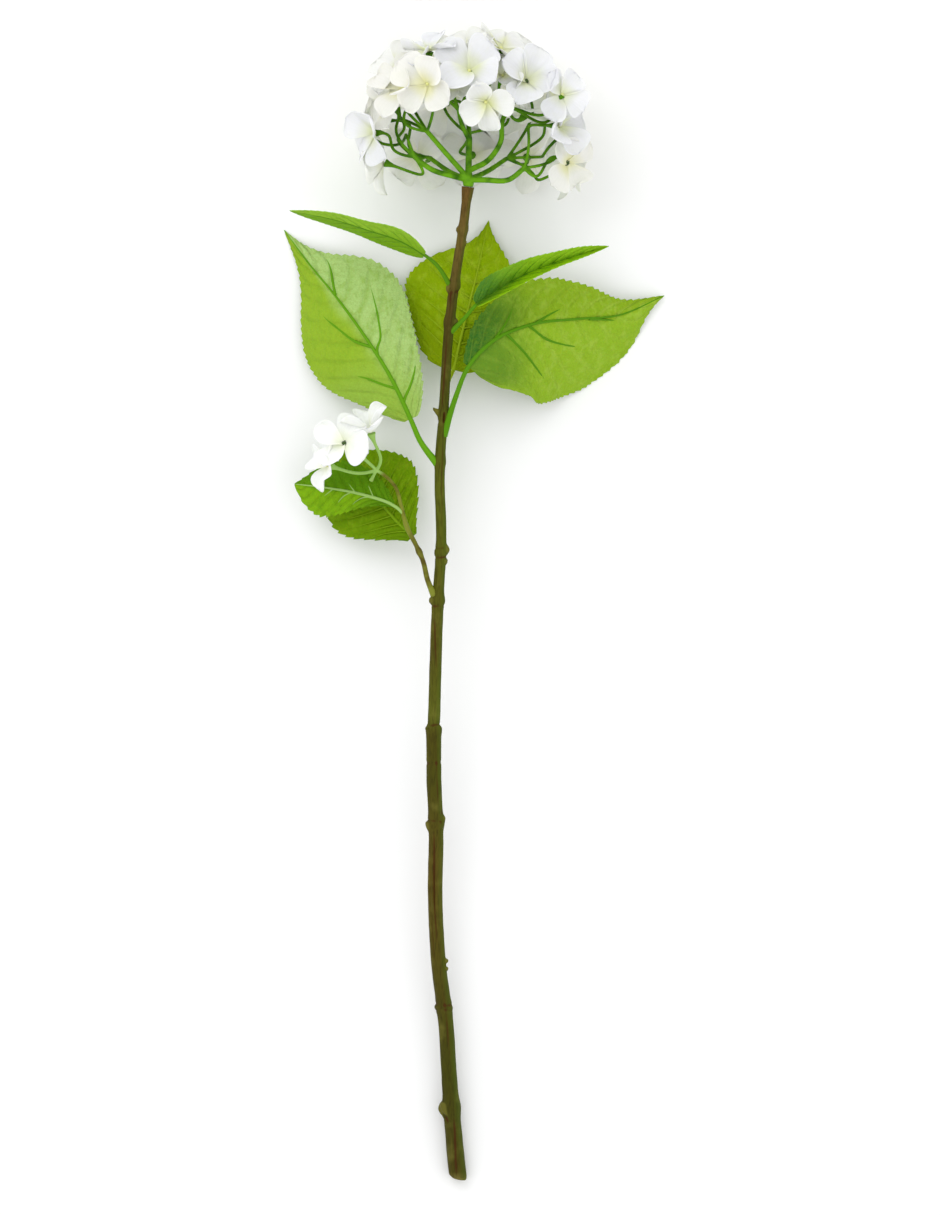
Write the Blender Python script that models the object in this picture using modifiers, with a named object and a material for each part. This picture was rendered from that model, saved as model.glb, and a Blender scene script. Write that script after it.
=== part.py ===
"""A cut hydrangea, lying on its side on a flat surface.

The flower head is toward +Y and the cut end of the stem toward -Y. The surface is z = 0.
The stem rises from its cut end to the head, which lies on its lowest florets.
Routes and tables are in millimetres and are turned to metres where a mesh is made.
"""
import math

import bmesh
import bpy
import numpy as np
from mathutils import Vector
from mathutils.bvhtree import BVHTree

MM = 0.001
GAP = 0.3                   # clearance between touching pieces
UP = Vector((0.0, 0.0, 1.0))

# Main stem: centre line from the cut end to the head, and its radius along y.
STEM_CUT_HEIGHT = 5.6
HEAD_AXIS_HEIGHT = 63.5
STEM_FOOT_Y = -368.5
STEM_TOP_Y = 270.0
STEM_SIDEWAYS = [
    (-368.5, -9.9), (-326, -13.8), (-262, -18.2), (-224, -22.7), (-186, -24.6),
    (-141, -24.0), (-109, -25.3), (-74, -25.3), (-26, -24.0), (6, -22.7),
    (38, -20.8), (96, -21.4), (128, -18.9), (179, -15.7), (211, -11.8),
    (243, -6.7), (270, -3.5),
]
STEM_RADIUS = [
    (-368.5, 5.8), (-345, 5.6), (-318, 5.3), (-300, 4.9), (-250, 4.8), (-140, 4.7),
    (-75.5, 4.8), (-73, 3.9), (-40, 3.9), (6, 3.8), (38, 3.3), (260, 3.0), (270, 4.1),
]
# Swollen nodes on the stem: place along y, extra radius, half length.
STEM_NODES = [
    (-321, 0.9, 5), (-256, 0.7, 4), (-137, 1.0, 4), (-77, 0.5, 3), (6, 0.9, 4),
    (37, 0.9, 4), (95, 0.7, 4), (126, 0.6, 4), (184, 0.8, 4), (207, 0.9, 4), (243, 0.5, 3),
]
# Stubs left by cut side shoots and buds: y, bearing around the stem, length, base radius, end radius.
STEM_STUBS = [
    (126, 175, 6.2, 2.4, 1.9), (-320, 160, 9.0, 3.2, 2.4), (-229, 12, 7.0, 2.2, 1.2),
    (39, 20, 6.0, 2.2, 1.4), (-138, 165, 6.5, 2.4, 1.8),
]
STEM_STEP = 20.0
STEM_ROUTE_POINTS = 200
NODE_REACH = 2.0            # a node's swelling is over at this many half lengths
NODE_FOOT = 1.5
STUB_LEAN = 0.9
STUB_SHOULDER = 0.7

# Side shoot: centre line, its fork, and the stalks of its florets.
SHOOT_FOOT_Y = 6.0
SHOOT_ROUTE = [
    (-29.3, 19, 43.5), (-32.3, 31.4, 44.5), (-36.8, 41.6, 45.5), (-42.6, 53, 46.5),
    (-46.4, 67, 48), (-50, 78.7, 49.5), (-57.3, 86.4, 51), (-62.4, 89.6, 52),
]
SHOOT_RADIUS = (2.2, 1.7)
SHOOT_NODES = [(0.32, 0.6, 0.04), (0.56, 0.5, 0.04), (0.97, 0.6, 0.03)]

# Flower head: everything below is measured from the hub, where the stem ends.
HUB = Vector((-3.5, 271.6, HEAD_AXIS_HEIGHT))
HUB_RADIUS = (3.3, 2.6)
HUB_SWELL = 0.4
HUB_SWELL_AT = 3.5
HUB_LENGTH = 8.0
# Rays of the head: start and end radius, then the route. The last point is where its stalks fork.
RAYS = {
    "trunk": (2.3, 1.9, [(0, 0, 0), (0.5, 15, 1), (1, 30, 1)]),
    "left": (2.0, 1.7, [(0, 3, 0), (-9, 5, 5), (-23, 9, 9), (-34, 17, 9)]),
    "left_inner": (1.9, 1.6, [(0, 4, 1), (-11, 16, 9), (-20, 26, 14), (-26, 33, 15)]),
    "right": (2.0, 1.7, [(0, 3, 1), (11, 2.5, 7), (26, 2.5, 10), (36, 10, 10)]),
    "right_inner": (2.0, 1.6, [(1, 9, 2), (13, 15, 10), (21, 27, 14), (22, 40, 15), (26, 48, 14)]),
    "front": (1.7, 1.4, [(1, 28, 1), (-4, 38, 10), (-6, 46, 20)]),
    "crown": (1.7, 1.4, [(1, 29, 1), (0, 45, -3), (-1, 58, -5)]),
    "back_left": (1.9, 1.5, [(0, 3, -1), (-12, 9, -14), (-24, 18, -24)]),
    "back_right": (1.9, 1.5, [(0, 3, -1), (12, 9, -14), (25, 18, -24)]),
    "back": (1.8, 1.4, [(0, 12, -1), (0, 22, -14), (0, 34, -26)]),
}
STALK_RADIUS = 0.85
STALK_POINTS = 6
FAN = 0.9                   # how far stalks spread sideways as they leave a fork
RAY_POINTS = 6
CALYX_RADIUS = 2.1
CALYX_LENGTH = 5.5
CALYX_SHOULDER = 0.45
CALYX_CLEAR = 1.3           # no other point of a stalk comes nearer than this many calyx lengths

# Florets of the head, in the order they are set on the head. Each has the ray it grows from,
# the place of its centre, the way it faces, its turn in degrees and the length of its petals.
HEAD_FLORETS = [
    ("back", (3, 22, -58), (0.05, -0.1, -1), 20, 20),
    ("back_left", (-32, 20, -49), (-0.35, -0.15, -1), 50, 20),
    ("back_right", (38, 20, -48), (0.4, -0.1, -1), 10, 20),
    ("back", (-14, 56, -56), (-0.15, 0.2, -1), 35, 20),
    ("back", (24, 56, -54), (0.25, 0.2, -1), 0, 20),
    ("front", (1, 70, 51), (0.05, 0.3, 0.95), 47, 21),
    ("front", (11, 48, 60), (-0.28, -0.12, 0.95), 85, 19),
    ("left_inner", (-25, 60, 49), (-0.3, 0.15, 0.94), 80, 20),
    ("right_inner", (38, 65, 38), (0.35, 0.35, 0.87), 62, 20),
    ("right_inner", (22, 68, 32), (0.1, 0.6, 0.8), 20, 18),
    ("left_inner", (-42, 60, 36), (-0.6, 0.2, 0.78), 70, 20),
    ("right", (59, 36, 24), (0.75, 0.1, 0.65), 25, 19),
    ("right_inner", (51, 55, 16), (0.74, 0.66, 0.12), 40, 19),
    ("right", (64, 13, 10), (0.8, -0.05, 0.6), 48, 20),
    ("left", (-61, 32, 12), (-0.9, -0.2, 0.4), 35, 20),
    ("left_inner", (-43, 71, 20), (-0.6, 0.6, 0.55), 15, 19),
    ("left", (-52, 51, 16), (-0.75, 0.25, 0.6), 60, 18),
    ("front", (-22, 76, 30), (-0.25, 0.65, 0.7), 40, 19),
    ("crown", (19, 80, 18), (0.3, 0.8, 0.45), 5, 19),
    ("right_inner", (42, 70, 10), (0.55, 0.75, 0.3), 25, 16),
    ("crown", (-3, 84, -2), (-0.05, 1, 0.05), 45, 19),
    ("right_inner", (36, 44, 6), (0.25, 0.9, -0.3), 50, 17),
    ("left", (-62, 30, -16), (-0.95, 0.0, -0.3), 10, 19),
    ("back_right", (62, 34, -14), (0.95, 0.15, -0.3), 55, 19),
    ("back_left", (-52, 42, -34), (-0.75, 0.2, -0.65), 30, 19),
    ("back_right", (52, 54, -26), (0.75, 0.45, -0.5), 15, 19),
    ("crown", (-26, 80, -14), (-0.4, 0.85, -0.3), 20, 19),
    ("crown", (20, 78, -18), (0.3, 0.85, -0.4), 60, 17),
    ("back", (-36, 66, -32), (-0.5, 0.6, -0.6), 5, 19),
    ("back", (4, 78, -40), (0.05, 0.65, -0.75), 40, 19),
    ("back_right", (36, 74, -38), (0.45, 0.6, -0.65), 25, 18),
    ("left", (-54, 54, -8), (-0.85, 0.45, -0.15), 35, 16),
    ("left_inner", (-35, 71, 4), (-0.5, 0.8, 0.25), 50, 16),
    ("crown", (1, 84, 24), (0.05, 0.9, 0.4), 20, 17),
    ("left", (-58, 13, -6), (-0.95, -0.2, -0.2), 40, 18),
    ("back_right", (60, 12, -26), (0.9, -0.1, -0.4), 20, 18),
    ("front", (-8, 62, 34), (-0.2, 0.3, 0.93), 20, 17),
    ("crown", (-12, 76, 10), (-0.2, 0.8, 0.56), 15, 16),
    ("right_inner", (54, 52, 30), (0.6, 0.3, 0.75), 50, 16),
    ("right_inner", (28, 76, 6), (0.3, 0.85, 0.4), 40, 16),
    ("right_inner", (60, 48, 6), (0.9, 0.3, 0.2), 30, 15),
    ("left_inner", (-48, 66, -8), (-0.7, 0.65, -0.2), 30, 15),
]
# Ways of bending a stalk, tried in this order until one passes clear of the florets: how far it
# starts straight at its floret, how long its bends are, and how far it swings to a side.
STALK_STRAIGHTENING = (0.0, 0.4, 0.7, 1.0)
STALK_SLACKS = (0.9, 0.75, 0.6, 0.45, 0.3, 0.2)
STALK_SWINGS = (0.35, -0.35, 0.15, -0.15, 0.0, 0.6, -0.6)
SEAT_STRAIGHT = 2.0         # a stalk comes to its floret straight from below for at least this far
SEAT_SLACK = 0.8            # its last bend is this much shorter than its first
STALK_CHECKS = 4            # places along each stretch of a stalk where its clearance is tried
# Florets whose stalk leaves its fork along a way of its own: their number, and that way.
STALK_LEADS = {
    14: (0.8, -1.0, 0.1), 15: (-1.0, 0.1, 0.1), 22: (-0.5, 1.0, 0.2), 12: (0.3, 1.0, 0.3),
    34: (-0.5, -1.0, -0.1), 23: (-0.4, 1.0, 0.3), 35: (0.7, -1.0, -0.2), 13: (1.0, 0.1, 0.1),
    16: (-0.8, 0.7, 0.3), 8: (0.2, 0.4, 1.0), 11: (-1.0, 0.1, 0.4), 7: (0.9, -0.4, 0.5),
}
# Florets of the side shoot: stalk start direction, centre, facing, turn and petal length.
SHOOT_FLORETS = [
    ((0.6, 0.8, 0.5), (-66, 116, 66), (-0.25, 0.85, 0.45), 30, 14.5),
    ((-0.6, 0.6, 0.5), (-81, 105, 67), (-0.45, 0.35, 0.82), 70, 16),
    ((-0.9, -0.3, 0.3), (-95, 93, 62), (-0.85, 0.25, 0.45), 40, 14.5),
]
SHOOT_BUD = (-65.5, 82.5, 55.5)
SHOOT_BUD_RADII = (0.9, 1.0, 1.6)
SHOOT_POINTS = 24
SHOOT_SLACK = 0.45
SHOOT_FORK_BACK = 0.25      # the fork sits this share of a step before the end of the centre line
BUD_SHOULDER = 0.6
FLORET_THICKNESS = 0.6
PETALS = 4
FLORET_CUP = 0.16           # height of a petal's tip above its foot, as a share of its length
CUP_CURVE = 1.6
LOBE_FULLNESS = 0.4
FLORET_RINGS = (0.35, 1.0)
FLORET_SIDES = 16
NOTCH = 0.56                # reach of the notch between petals, as a share of a petal's length
ROUTE_MARGIN = 0.5          # extra room between a petal and a stalk that passes it
SETTLE_STEPS = 16
SETTLE_STEP = 1.0
SETTLE_TURNS = (0, 15, -15, 30, -30, 45)

# Leaves: the foot on the stem (its y) or on the side shoot (its share of the way along), the
# stalk and the midrib route. Each side has a slope in degrees, where 0 is level and 90 is
# straight up, how much that slope changes out to the margin, and its half width seen from
# above, as (share of the midrib, half width) pairs.
LEAVES = {
    "leaf_left_large": dict(
        foot=("stem", 95), stalk=[(-34, 108, 52)],
        midrib=[(-40, 121.6, 51), (-53, 149, 48), (-70.7, 177, 40), (-90, 203.5, 25),
                (-106.6, 224, 9), (-122.3, 245.5, 0.0)],
        left=(-22, -30, [(0, 3), (0.06, 15), (0.19, 31), (0.31, 41), (0.46, 41), (0.6, 31), (0.72, 18),
                         (0.81, 9), (0.91, 4), (1, 0)]),
        right=(-2, -22, [(0, 4), (0.05, 13), (0.15, 20), (0.3, 29), (0.48, 40), (0.6, 38), (0.68, 31),
                         (0.76, 20), (0.86, 8), (0.93, 3), (1, 0)])),
    "leaf_right_large": dict(
        foot=("stem", 115), stalk=[(-11, 137, 57)],
        midrib=[(-3.5, 155, 58), (12.5, 172, 56), (35.5, 182.4, 48), (67.5, 187, 32),
                (94, 190, 16), (123.2, 203, 3)],
        left=(-8, -16, [(0, 4), (0.1, 14), (0.2, 22), (0.32, 28), (0.46, 29.5), (0.57, 25), (0.68, 19),
                        (0.78, 12), (0.88, 6), (0.94, 3), (1, 0)]),
        right=(-18, -36, [(0, 6), (0.03, 22), (0.08, 39), (0.2, 49), (0.38, 51), (0.5, 48), (0.6, 44),
                          (0.7, 35), (0.78, 23), (0.85, 11), (0.92, 4), (1, 0)])),
    "leaf_back": dict(
        foot=("stem", 138), stalk=[(-16, 147, 43)],
        midrib=[(-13, 153.6, 39), (-9, 170, 35), (-3, 195, 28), (3, 220, 17), (9.9, 251.5, 2)],
        left=(-14, -14, [(0, 6), (0.03, 20), (0.1, 26), (0.28, 36), (0.45, 45), (0.55, 43), (0.69, 33),
                         (0.77, 19), (0.84, 8), (0.92, 3), (1, 0)]),
        right=(-6, -12, [(0, 8), (0.05, 20), (0.2, 34), (0.4, 40), (0.6, 34), (0.75, 20), (0.86, 10),
                         (0.93, 3), (1, 0)])),
    "leaf_left_upper": dict(
        foot=("stem", 207), stalk=[(-24.6, 221.4, 62)],
        midrib=[(-31, 226.5, 62), (-47, 236, 60), (-66, 242.5, 55), (-85.4, 249, 47), (-118, 256.5, 32)],
        left=(-76, 0, [(0, 1.5), (0.07, 4.5), (0.18, 6), (0.28, 6), (0.46, 4.4), (0.68, 3.8), (0.87, 2.2),
                       (0.95, 1), (1, 0)]),
        right=(74, 0, [(0, 1.5), (0.07, 4.5), (0.18, 6), (0.28, 6), (0.46, 4.4), (0.68, 3.8), (0.87, 2.2),
                       (0.95, 1), (1, 0)])),
    "leaf_right_upper": dict(
        foot=("stem", 180), stalk=[(-5.4, 186.6, 62.5)],
        midrib=[(1.6, 194.6, 66), (12.5, 202, 68), (33, 214, 67), (60, 224.5, 60), (86.7, 233, 46)],
        left=(60, 0, [(0, 2), (0.1, 5), (0.25, 6.4), (0.45, 6.6), (0.6, 5.2), (0.8, 4), (0.92, 2.3), (1, 0)]),
        right=(66, 0, [(0, 1.5), (0.1, 4), (0.25, 5), (0.45, 5), (0.6, 3.6), (0.8, 2.8), (0.92, 1.5),
                       (1, 0)])),
    "leaf_shoot_front": dict(
        foot=("shoot", 0.56), stalk=[(-49.5, 61, 49.5)],
        midrib=[(-51, 66.8, 49), (-69.4, 73.5, 47.5), (-91.8, 78, 41), (-115, 81, 30)],
        left=(-14, -24, [(0, 1), (0.2, 6), (0.4, 13), (0.55, 18), (0.7, 20), (0.85, 15), (0.94, 8), (1, 0)]),
        right=(-8, -16, [(0, 2), (0.15, 12), (0.35, 19), (0.55, 20), (0.72, 16), (0.85, 9), (0.93, 4),
                         (1, 0)])),
    "leaf_shoot_back": dict(
        foot=("shoot", 0.4), stalk=[(-39, 43, 40.5)],
        midrib=[(-39.6, 46, 38.5), (-52, 60, 34), (-66, 77, 29), (-84, 103, 20)],
        left=(-10, -22, [(0, 3), (0.05, 6), (0.14, 14), (0.24, 22), (0.36, 31), (0.48, 35), (0.62, 33),
                         (0.78, 24), (0.9, 11), (1, 0)]),
        right=(-8, -24, [(0, 4), (0.1, 11), (0.21, 20), (0.37, 29), (0.5, 33), (0.62, 32), (0.75, 26),
                         (0.86, 17), (0.94, 7), (1, 0)])),
}
LEAF_THICKNESS = 0.6
LEAF_STATIONS = 11
LEAF_COLUMNS = 4
BLADE_START = 0.015         # share of the midrib where the blade begins and ends
BLADE_END = 0.985
MIDRIB_RADIUS = (1.5, 0.6)
STALK_LEAF_RADIUS = 1.6
FOOT_LENGTH = 2.2           # a stalk leaves its stem square to it for this far
RIB_POINTS = 14
MIDRIB_POINTS = 25
FLOOR_REST = 0.02           # space left under what lies on the surface

# How finely round pieces are made: a bevel resolution of 1, 2 or 3 gives 6, 8 or 10 sides.
FINE_ROUND = 3
MIDDLE_ROUND = 2
COARSE_ROUND = 1
ROUTE_STEPS = 12            # steps between two points of a route while it is smoothed
WELD_DISTANCE = 0.02
SHARP_ANGLE = 50


# ---------------------------------------------------------------- scene and materials
for leftover in list(bpy.data.objects):
    bpy.data.objects.remove(leftover, do_unlink=True)


def new_collection(name):
    collection = bpy.data.collections.new(name)
    bpy.context.scene.collection.children.link(collection)
    return collection


flower = new_collection("cut_hydrangea")
scratch = new_collection("joined_pieces")


def new_material(name, colour, roughness):
    material = bpy.data.materials.new(name)
    material.use_nodes = True
    shader = material.node_tree.nodes["Principled BSDF"]
    shader.inputs["Base Color"].default_value = (*colour, 1.0)
    shader.inputs["Roughness"].default_value = roughness
    shader.inputs["Metallic"].default_value = 0.0
    return material


# ---------------------------------------------------------------- curves and solids
def along(table, place):
    """Value of a table of (place, value) rows at a place."""
    return float(np.interp(place, [row[0] for row in table], [row[1] for row in table]))


def smooth_route(points, count):
    """Evenly spaced points on a smooth curve through the given points."""
    knots = [Vector(p) for p in points]
    spans = [(b - a).length for a, b in zip(knots, knots[1:])]
    ways = [(b - a) / span for a, b, span in zip(knots, knots[1:], spans)]
    slopes = [ways[0]]
    for i in range(1, len(ways)):
        slopes.append((ways[i - 1] * spans[i] + ways[i] * spans[i - 1]) / (spans[i - 1] + spans[i]))
    slopes.append(ways[-1])
    fine = []
    for i, span in enumerate(spans):
        for k in range(ROUTE_STEPS):
            t = k / ROUTE_STEPS
            fine.append(knots[i] * (2 * t ** 3 - 3 * t * t + 1) + slopes[i] * span * (t ** 3 - 2 * t * t + t)
                        + knots[i + 1] * (3 * t * t - 2 * t ** 3) + slopes[i + 1] * span * (t ** 3 - t * t))
    fine.append(knots[-1])
    steps = [0.0]
    for here, there in zip(fine, fine[1:]):
        steps.append(steps[-1] + (there - here).length)
    wanted = np.linspace(0.0, steps[-1], count)
    return [Vector([float(np.interp(w, steps, [p[axis] for p in fine])) for axis in range(3)])
            for w in wanted]


def tube(name, points, radii, resolution=MIDDLE_ROUND):
    """A closed round tube along a route in millimetres, as a mesh object."""
    curve = bpy.data.curves.new(name, "CURVE")
    curve.dimensions = "3D"
    curve.bevel_depth = 1.0
    curve.bevel_resolution = resolution
    curve.use_fill_caps = True
    spline = curve.splines.new("POLY")
    spline.points.add(len(points) - 1)
    for knot, point, radius in zip(spline.points, points, radii):
        knot.co = (*(Vector(point) * MM), 1.0)
        knot.radius = radius * MM
    holder = bpy.data.objects.new(name, curve)
    scratch.objects.link(holder)
    bpy.context.view_layer.update()
    graph = bpy.context.evaluated_depsgraph_get()
    mesh = bpy.data.meshes.new_from_object(holder.evaluated_get(graph))
    bpy.data.objects.remove(holder, do_unlink=True)
    return weld(name, mesh)


def weld(name, mesh):
    """The mesh as an object, with doubled points merged and faces outward."""
    work = bmesh.new()
    work.from_mesh(mesh)
    bmesh.ops.remove_doubles(work, verts=work.verts, dist=WELD_DISTANCE * MM)
    bmesh.ops.recalc_face_normals(work, faces=work.faces)
    work.to_mesh(mesh)
    work.free()
    solid = bpy.data.objects.new(name, mesh)
    scratch.objects.link(solid)
    return solid


def evaluated_mesh(source):
    bpy.context.view_layer.update()
    graph = bpy.context.evaluated_depsgraph_get()
    return bpy.data.meshes.new_from_object(source.evaluated_get(graph))


def join(body, additions, folded=False):
    """One solid made of the body and the additions that run into it."""
    operands = bpy.data.collections.new("operands")
    bpy.context.scene.collection.children.link(operands)
    for piece in additions:
        operands.objects.link(piece)
    union = body.modifiers.new("join", "BOOLEAN")
    union.operation = "UNION"
    union.solver = "EXACT"
    union.use_self = folded
    union.operand_type = "COLLECTION"
    union.collection = operands
    mesh = evaluated_mesh(body)
    body.modifiers.clear()
    body.data = mesh
    for piece in additions:
        bpy.data.objects.remove(piece, do_unlink=True)
    bpy.data.collections.remove(operands)
    return body


def keep(solid, name, material):
    """File a finished solid under its name in the flower's collection."""
    scratch.objects.unlink(solid)
    flower.objects.link(solid)
    solid.name = name
    solid.data.name = name
    solid.data.materials.clear()
    solid.data.materials.append(material)
    solid.data.shade_smooth()
    solid.data.set_sharp_from_angle(angle=math.radians(SHARP_ANGLE))
    return solid


# ---------------------------------------------------------------- main stem
def stem_centre(y):
    rise = (y - STEM_FOOT_Y) / (STEM_TOP_Y - STEM_FOOT_Y)
    height = STEM_CUT_HEIGHT + rise * (HEAD_AXIS_HEIGHT - STEM_CUT_HEIGHT)
    return Vector((along(STEM_SIDEWAYS, y), y, height))


def stem_radius(y):
    swell = sum(extra * math.exp(-((y - place) / half) ** 2) for place, extra, half in STEM_NODES)
    return along(STEM_RADIUS, y) + swell


def stem_stub(row):
    """A short blunt peg leaning up the stem: bearing 0 points to +X and 90 points up."""
    y, bearing, length, base, end = row
    root = stem_centre(y)
    out = Vector((math.cos(math.radians(bearing)), STUB_LEAN, math.sin(math.radians(bearing))))
    tip = root + out.normalized() * length
    return tube("stub", [root, root.lerp(tip, STUB_SHOULDER), tip], [base, base, end])


def build_stem(material):
    count = int((STEM_TOP_Y - STEM_FOOT_Y) / STEM_STEP)
    places = list(np.linspace(STEM_FOOT_Y, STEM_TOP_Y, count))
    for node, _, half in STEM_NODES:
        places = [y for y in places if abs(y - node) > NODE_REACH * half]
        places += [node - NODE_FOOT * half, node, node + NODE_FOOT * half]
    places.sort()
    route = smooth_route([stem_centre(y) for y, _ in STEM_SIDEWAYS], STEM_ROUTE_POINTS)
    heights = [p.y for p in route]
    points = [Vector([float(np.interp(y, heights, [p[k] for p in route])) for k in range(3)])
              for y in places]
    body = tube("stem", points, [stem_radius(y) for y in places], FINE_ROUND)
    return keep(join(body, [stem_stub(row) for row in STEM_STUBS]), "main_stem", material)


# ---------------------------------------------------------------- florets
def floret_reach(angle):
    """Length of the floret's outline at an angle, as a share of a petal's length."""
    lobe = abs(math.cos(angle * PETALS / 2))
    return NOTCH + (1.0 - NOTCH) * lobe ** LOBE_FULLNESS


def floret_surface(seat, facing, turn, petal):
    """The open middle surface of one floret, as a bmesh in millimetres."""
    work = bmesh.new()
    bmesh.ops.create_circle(work, cap_ends=True, cap_tris=True, segments=FLORET_SIDES, radius=FLORET_RINGS[0])
    for ring in FLORET_RINGS[1:]:
        edges = [edge for edge in work.edges if edge.is_boundary]
        grown = bmesh.ops.extrude_edge_only(work, edges=edges)["geom"]
        for vert in [item for item in grown if isinstance(item, bmesh.types.BMVert)]:
            vert.co = vert.co.normalized() * ring
    axis = Vector(facing).normalized()
    side = axis.orthogonal().normalized() if abs(axis.y) > 0.9 else axis.cross(Vector((0, 1, 0))).normalized()
    ahead = axis.cross(side)
    floor = FLORET_THICKNESS / 2 + FLOOR_REST
    for vert in work.verts:
        ring = vert.co.length
        angle = math.atan2(vert.co.y, vert.co.x)
        reach = ring * petal * (floret_reach(angle) if ring > FLORET_RINGS[0] + 0.01 else 1.0)
        lift = FLORET_CUP * petal * ring ** CUP_CURVE
        around = angle + math.radians(turn)
        spot = seat + side * reach * math.cos(around) + ahead * reach * math.sin(around) + axis * lift
        spot.z = max(spot.z, floor)
        vert.co = spot
    bmesh.ops.recalc_face_normals(work, faces=work.faces)
    work.normal_update()
    middle = next(vert for vert in work.verts if len(vert.link_edges) == FLORET_SIDES)
    if middle.normal.dot(axis) < 0:
        bmesh.ops.reverse_faces(work, faces=work.faces)
        work.normal_update()
    return work


def shell_tree(surface, thickness):
    """A search tree of a surface thickened by the given amount, for finding clashes."""
    count = len(surface.verts)
    surface.verts.index_update()
    upper = [vert.co + vert.normal * thickness / 2 for vert in surface.verts]
    lower = [vert.co - vert.normal * thickness / 2 for vert in surface.verts]
    faces = []
    for face in surface.faces:
        ids = [vert.index for vert in face.verts]
        faces.append(ids)
        faces.append([i + count for i in reversed(ids)])
    for edge in surface.edges:
        if edge.is_boundary:
            a, b = (vert.index for vert in edge.verts)
            faces.append([a, b, b + count, a + count])
    return BVHTree.FromPolygons(upper + lower, faces)


def clear_of_routes(tree, routes):
    """True where every route of (point, radius) keeps its gap from the tree."""
    for route in routes:
        for point, radius in route:
            if tree.find_nearest(point, radius + GAP + ROUTE_MARGIN)[0] is not None:
                return False
    return True


def settle(seat, facing, turn, petal, trees, routes):
    """Slide and turn a floret along its own axis until it is clear of all set before it."""
    axis = Vector(facing).normalized()
    thick = FLORET_THICKNESS + 2 * GAP
    shifts = [0.0]
    for k in range(1, SETTLE_STEPS + 1):
        shifts += [k * SETTLE_STEP, -k * SETTLE_STEP / 2]
    for shift in shifts:
        for more in SETTLE_TURNS:
            place = seat + axis * shift
            surface = floret_surface(place, facing, turn + more, petal)
            tree = shell_tree(surface, thick)
            if not any(tree.overlap(other) for other in trees) and clear_of_routes(tree, routes):
                return surface, tree, place
            surface.free()
    raise ValueError("no free place for a floret")


def build_floret(name, surface, material):
    mesh = bpy.data.meshes.new(name)
    for vert in surface.verts:
        vert.co = vert.co * MM
    surface.to_mesh(mesh)
    surface.free()
    solid = bpy.data.objects.new(name, mesh)
    scratch.objects.link(solid)
    shell = solid.modifiers.new("petal thickness", "SOLIDIFY")
    shell.thickness = FLORET_THICKNESS * MM
    shell.offset = 0.0
    return keep(solid, name, material)


# ---------------------------------------------------------------- stalks that carry florets
def stalk_route(start, lead, seat, facing, slack, swing):
    """A stalk from a fork to the underside of a floret, leaving along lead."""
    axis = Vector(facing).normalized()
    end = seat - axis * (FLORET_THICKNESS / 2 + GAP)
    span = (end - start).length
    sideways = axis.cross(end - start)
    if sideways.length > 1e-6:
        sideways.normalize()
    first = start + Vector(lead).normalized() * span * slack
    second = end - axis * (span * slack * SEAT_SLACK + SEAT_STRAIGHT) + sideways * span * swing
    points = []
    for k in range(STALK_POINTS):
        t = k / (STALK_POINTS - 1)
        points.append((1 - t) ** 3 * start + 3 * (1 - t) ** 2 * t * first
                      + 3 * (1 - t) * t * t * second + t ** 3 * end)
    return points


def stalk_radii(points):
    """Thin all along, and flared to the calyx at the end."""
    radii = []
    for point in points:
        left = (points[-1] - point).length
        flare = max(0.0, 1.0 - left / CALYX_LENGTH)
        radii.append(STALK_RADIUS + (CALYX_RADIUS - STALK_RADIUS) * flare)
    return radii


def with_calyx(points, axis):
    """The stalk's points, ended by the straight stretch where the calyx flares."""
    end = points[-1]
    neck = end - axis * CALYX_LENGTH
    body = [p for p in points[:-1] if (p - end).length > CALYX_LENGTH * CALYX_CLEAR]
    return body + [neck, end.lerp(neck, CALYX_SHOULDER), end]


def find_stalk(fork, lead, seat, facing, own, trees):
    """The first of several stalk shapes that passes clear of the florets."""
    start, ray_way = fork
    axis = Vector(facing).normalized()
    outward = (seat - start).normalized()
    across = outward - ray_way * outward.dot(ray_way)
    first_way = Vector(lead).normalized() if lead else (ray_way + across * FAN).normalized()
    for straight in STALK_STRAIGHTENING:
        first_lead = first_way.lerp(outward, straight)
        for slack in STALK_SLACKS:
            for swing in STALK_SWINGS:
                points = with_calyx(stalk_route(start, first_lead, seat, facing, slack, swing), axis)
                samples = []
                for here, there in zip(points, points[1:]):
                    samples += [(here.lerp(there, k / STALK_CHECKS), STALK_RADIUS)
                                for k in range(STALK_CHECKS)]
                free = [sample for sample in samples if (sample[0] - points[-1]).length > CALYX_LENGTH]
                if clear_of_routes(own, [free]) and all(clear_of_routes(tree, [samples]) for tree in trees):
                    return points
    return None


# ---------------------------------------------------------------- leaves
def leaf_spot(route, t, s, leaf):
    """Point of a blade: t runs from foot to tip, s from -1 at the right margin to 1 at the left."""
    place = t * (len(route) - 1)
    i = min(int(place), len(route) - 2)
    centre = route[i].lerp(route[i + 1], place - i)
    before, after = route[max(i - 1, 0)], route[min(i + 2, len(route) - 1)]
    ahead = (after - before).normalized()
    outward = UP.cross(ahead).normalized() * (1 if s > 0 else -1)
    slope, bend, half_widths = leaf["left"] if s > 0 else leaf["right"]
    angle = math.radians(slope + bend * abs(s) / 2)
    reach = along(half_widths, t) / math.cos(math.radians(slope + bend / 2)) * abs(s)
    spot = centre + outward * reach * math.cos(angle) + UP * reach * math.sin(angle)
    spot.z = max(spot.z, LEAF_THICKNESS / 2 + FLOOR_REST)
    return spot


def foot_on(centre, radius, ahead, toward):
    """Two points that leave a round stem at right angles, the first just clear of its surface."""
    outward = toward - centre
    outward = (outward - ahead * outward.dot(ahead)).normalized()
    return [centre + outward * (radius + GAP), centre + outward * (radius + GAP + FOOT_LENGTH)]


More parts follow.
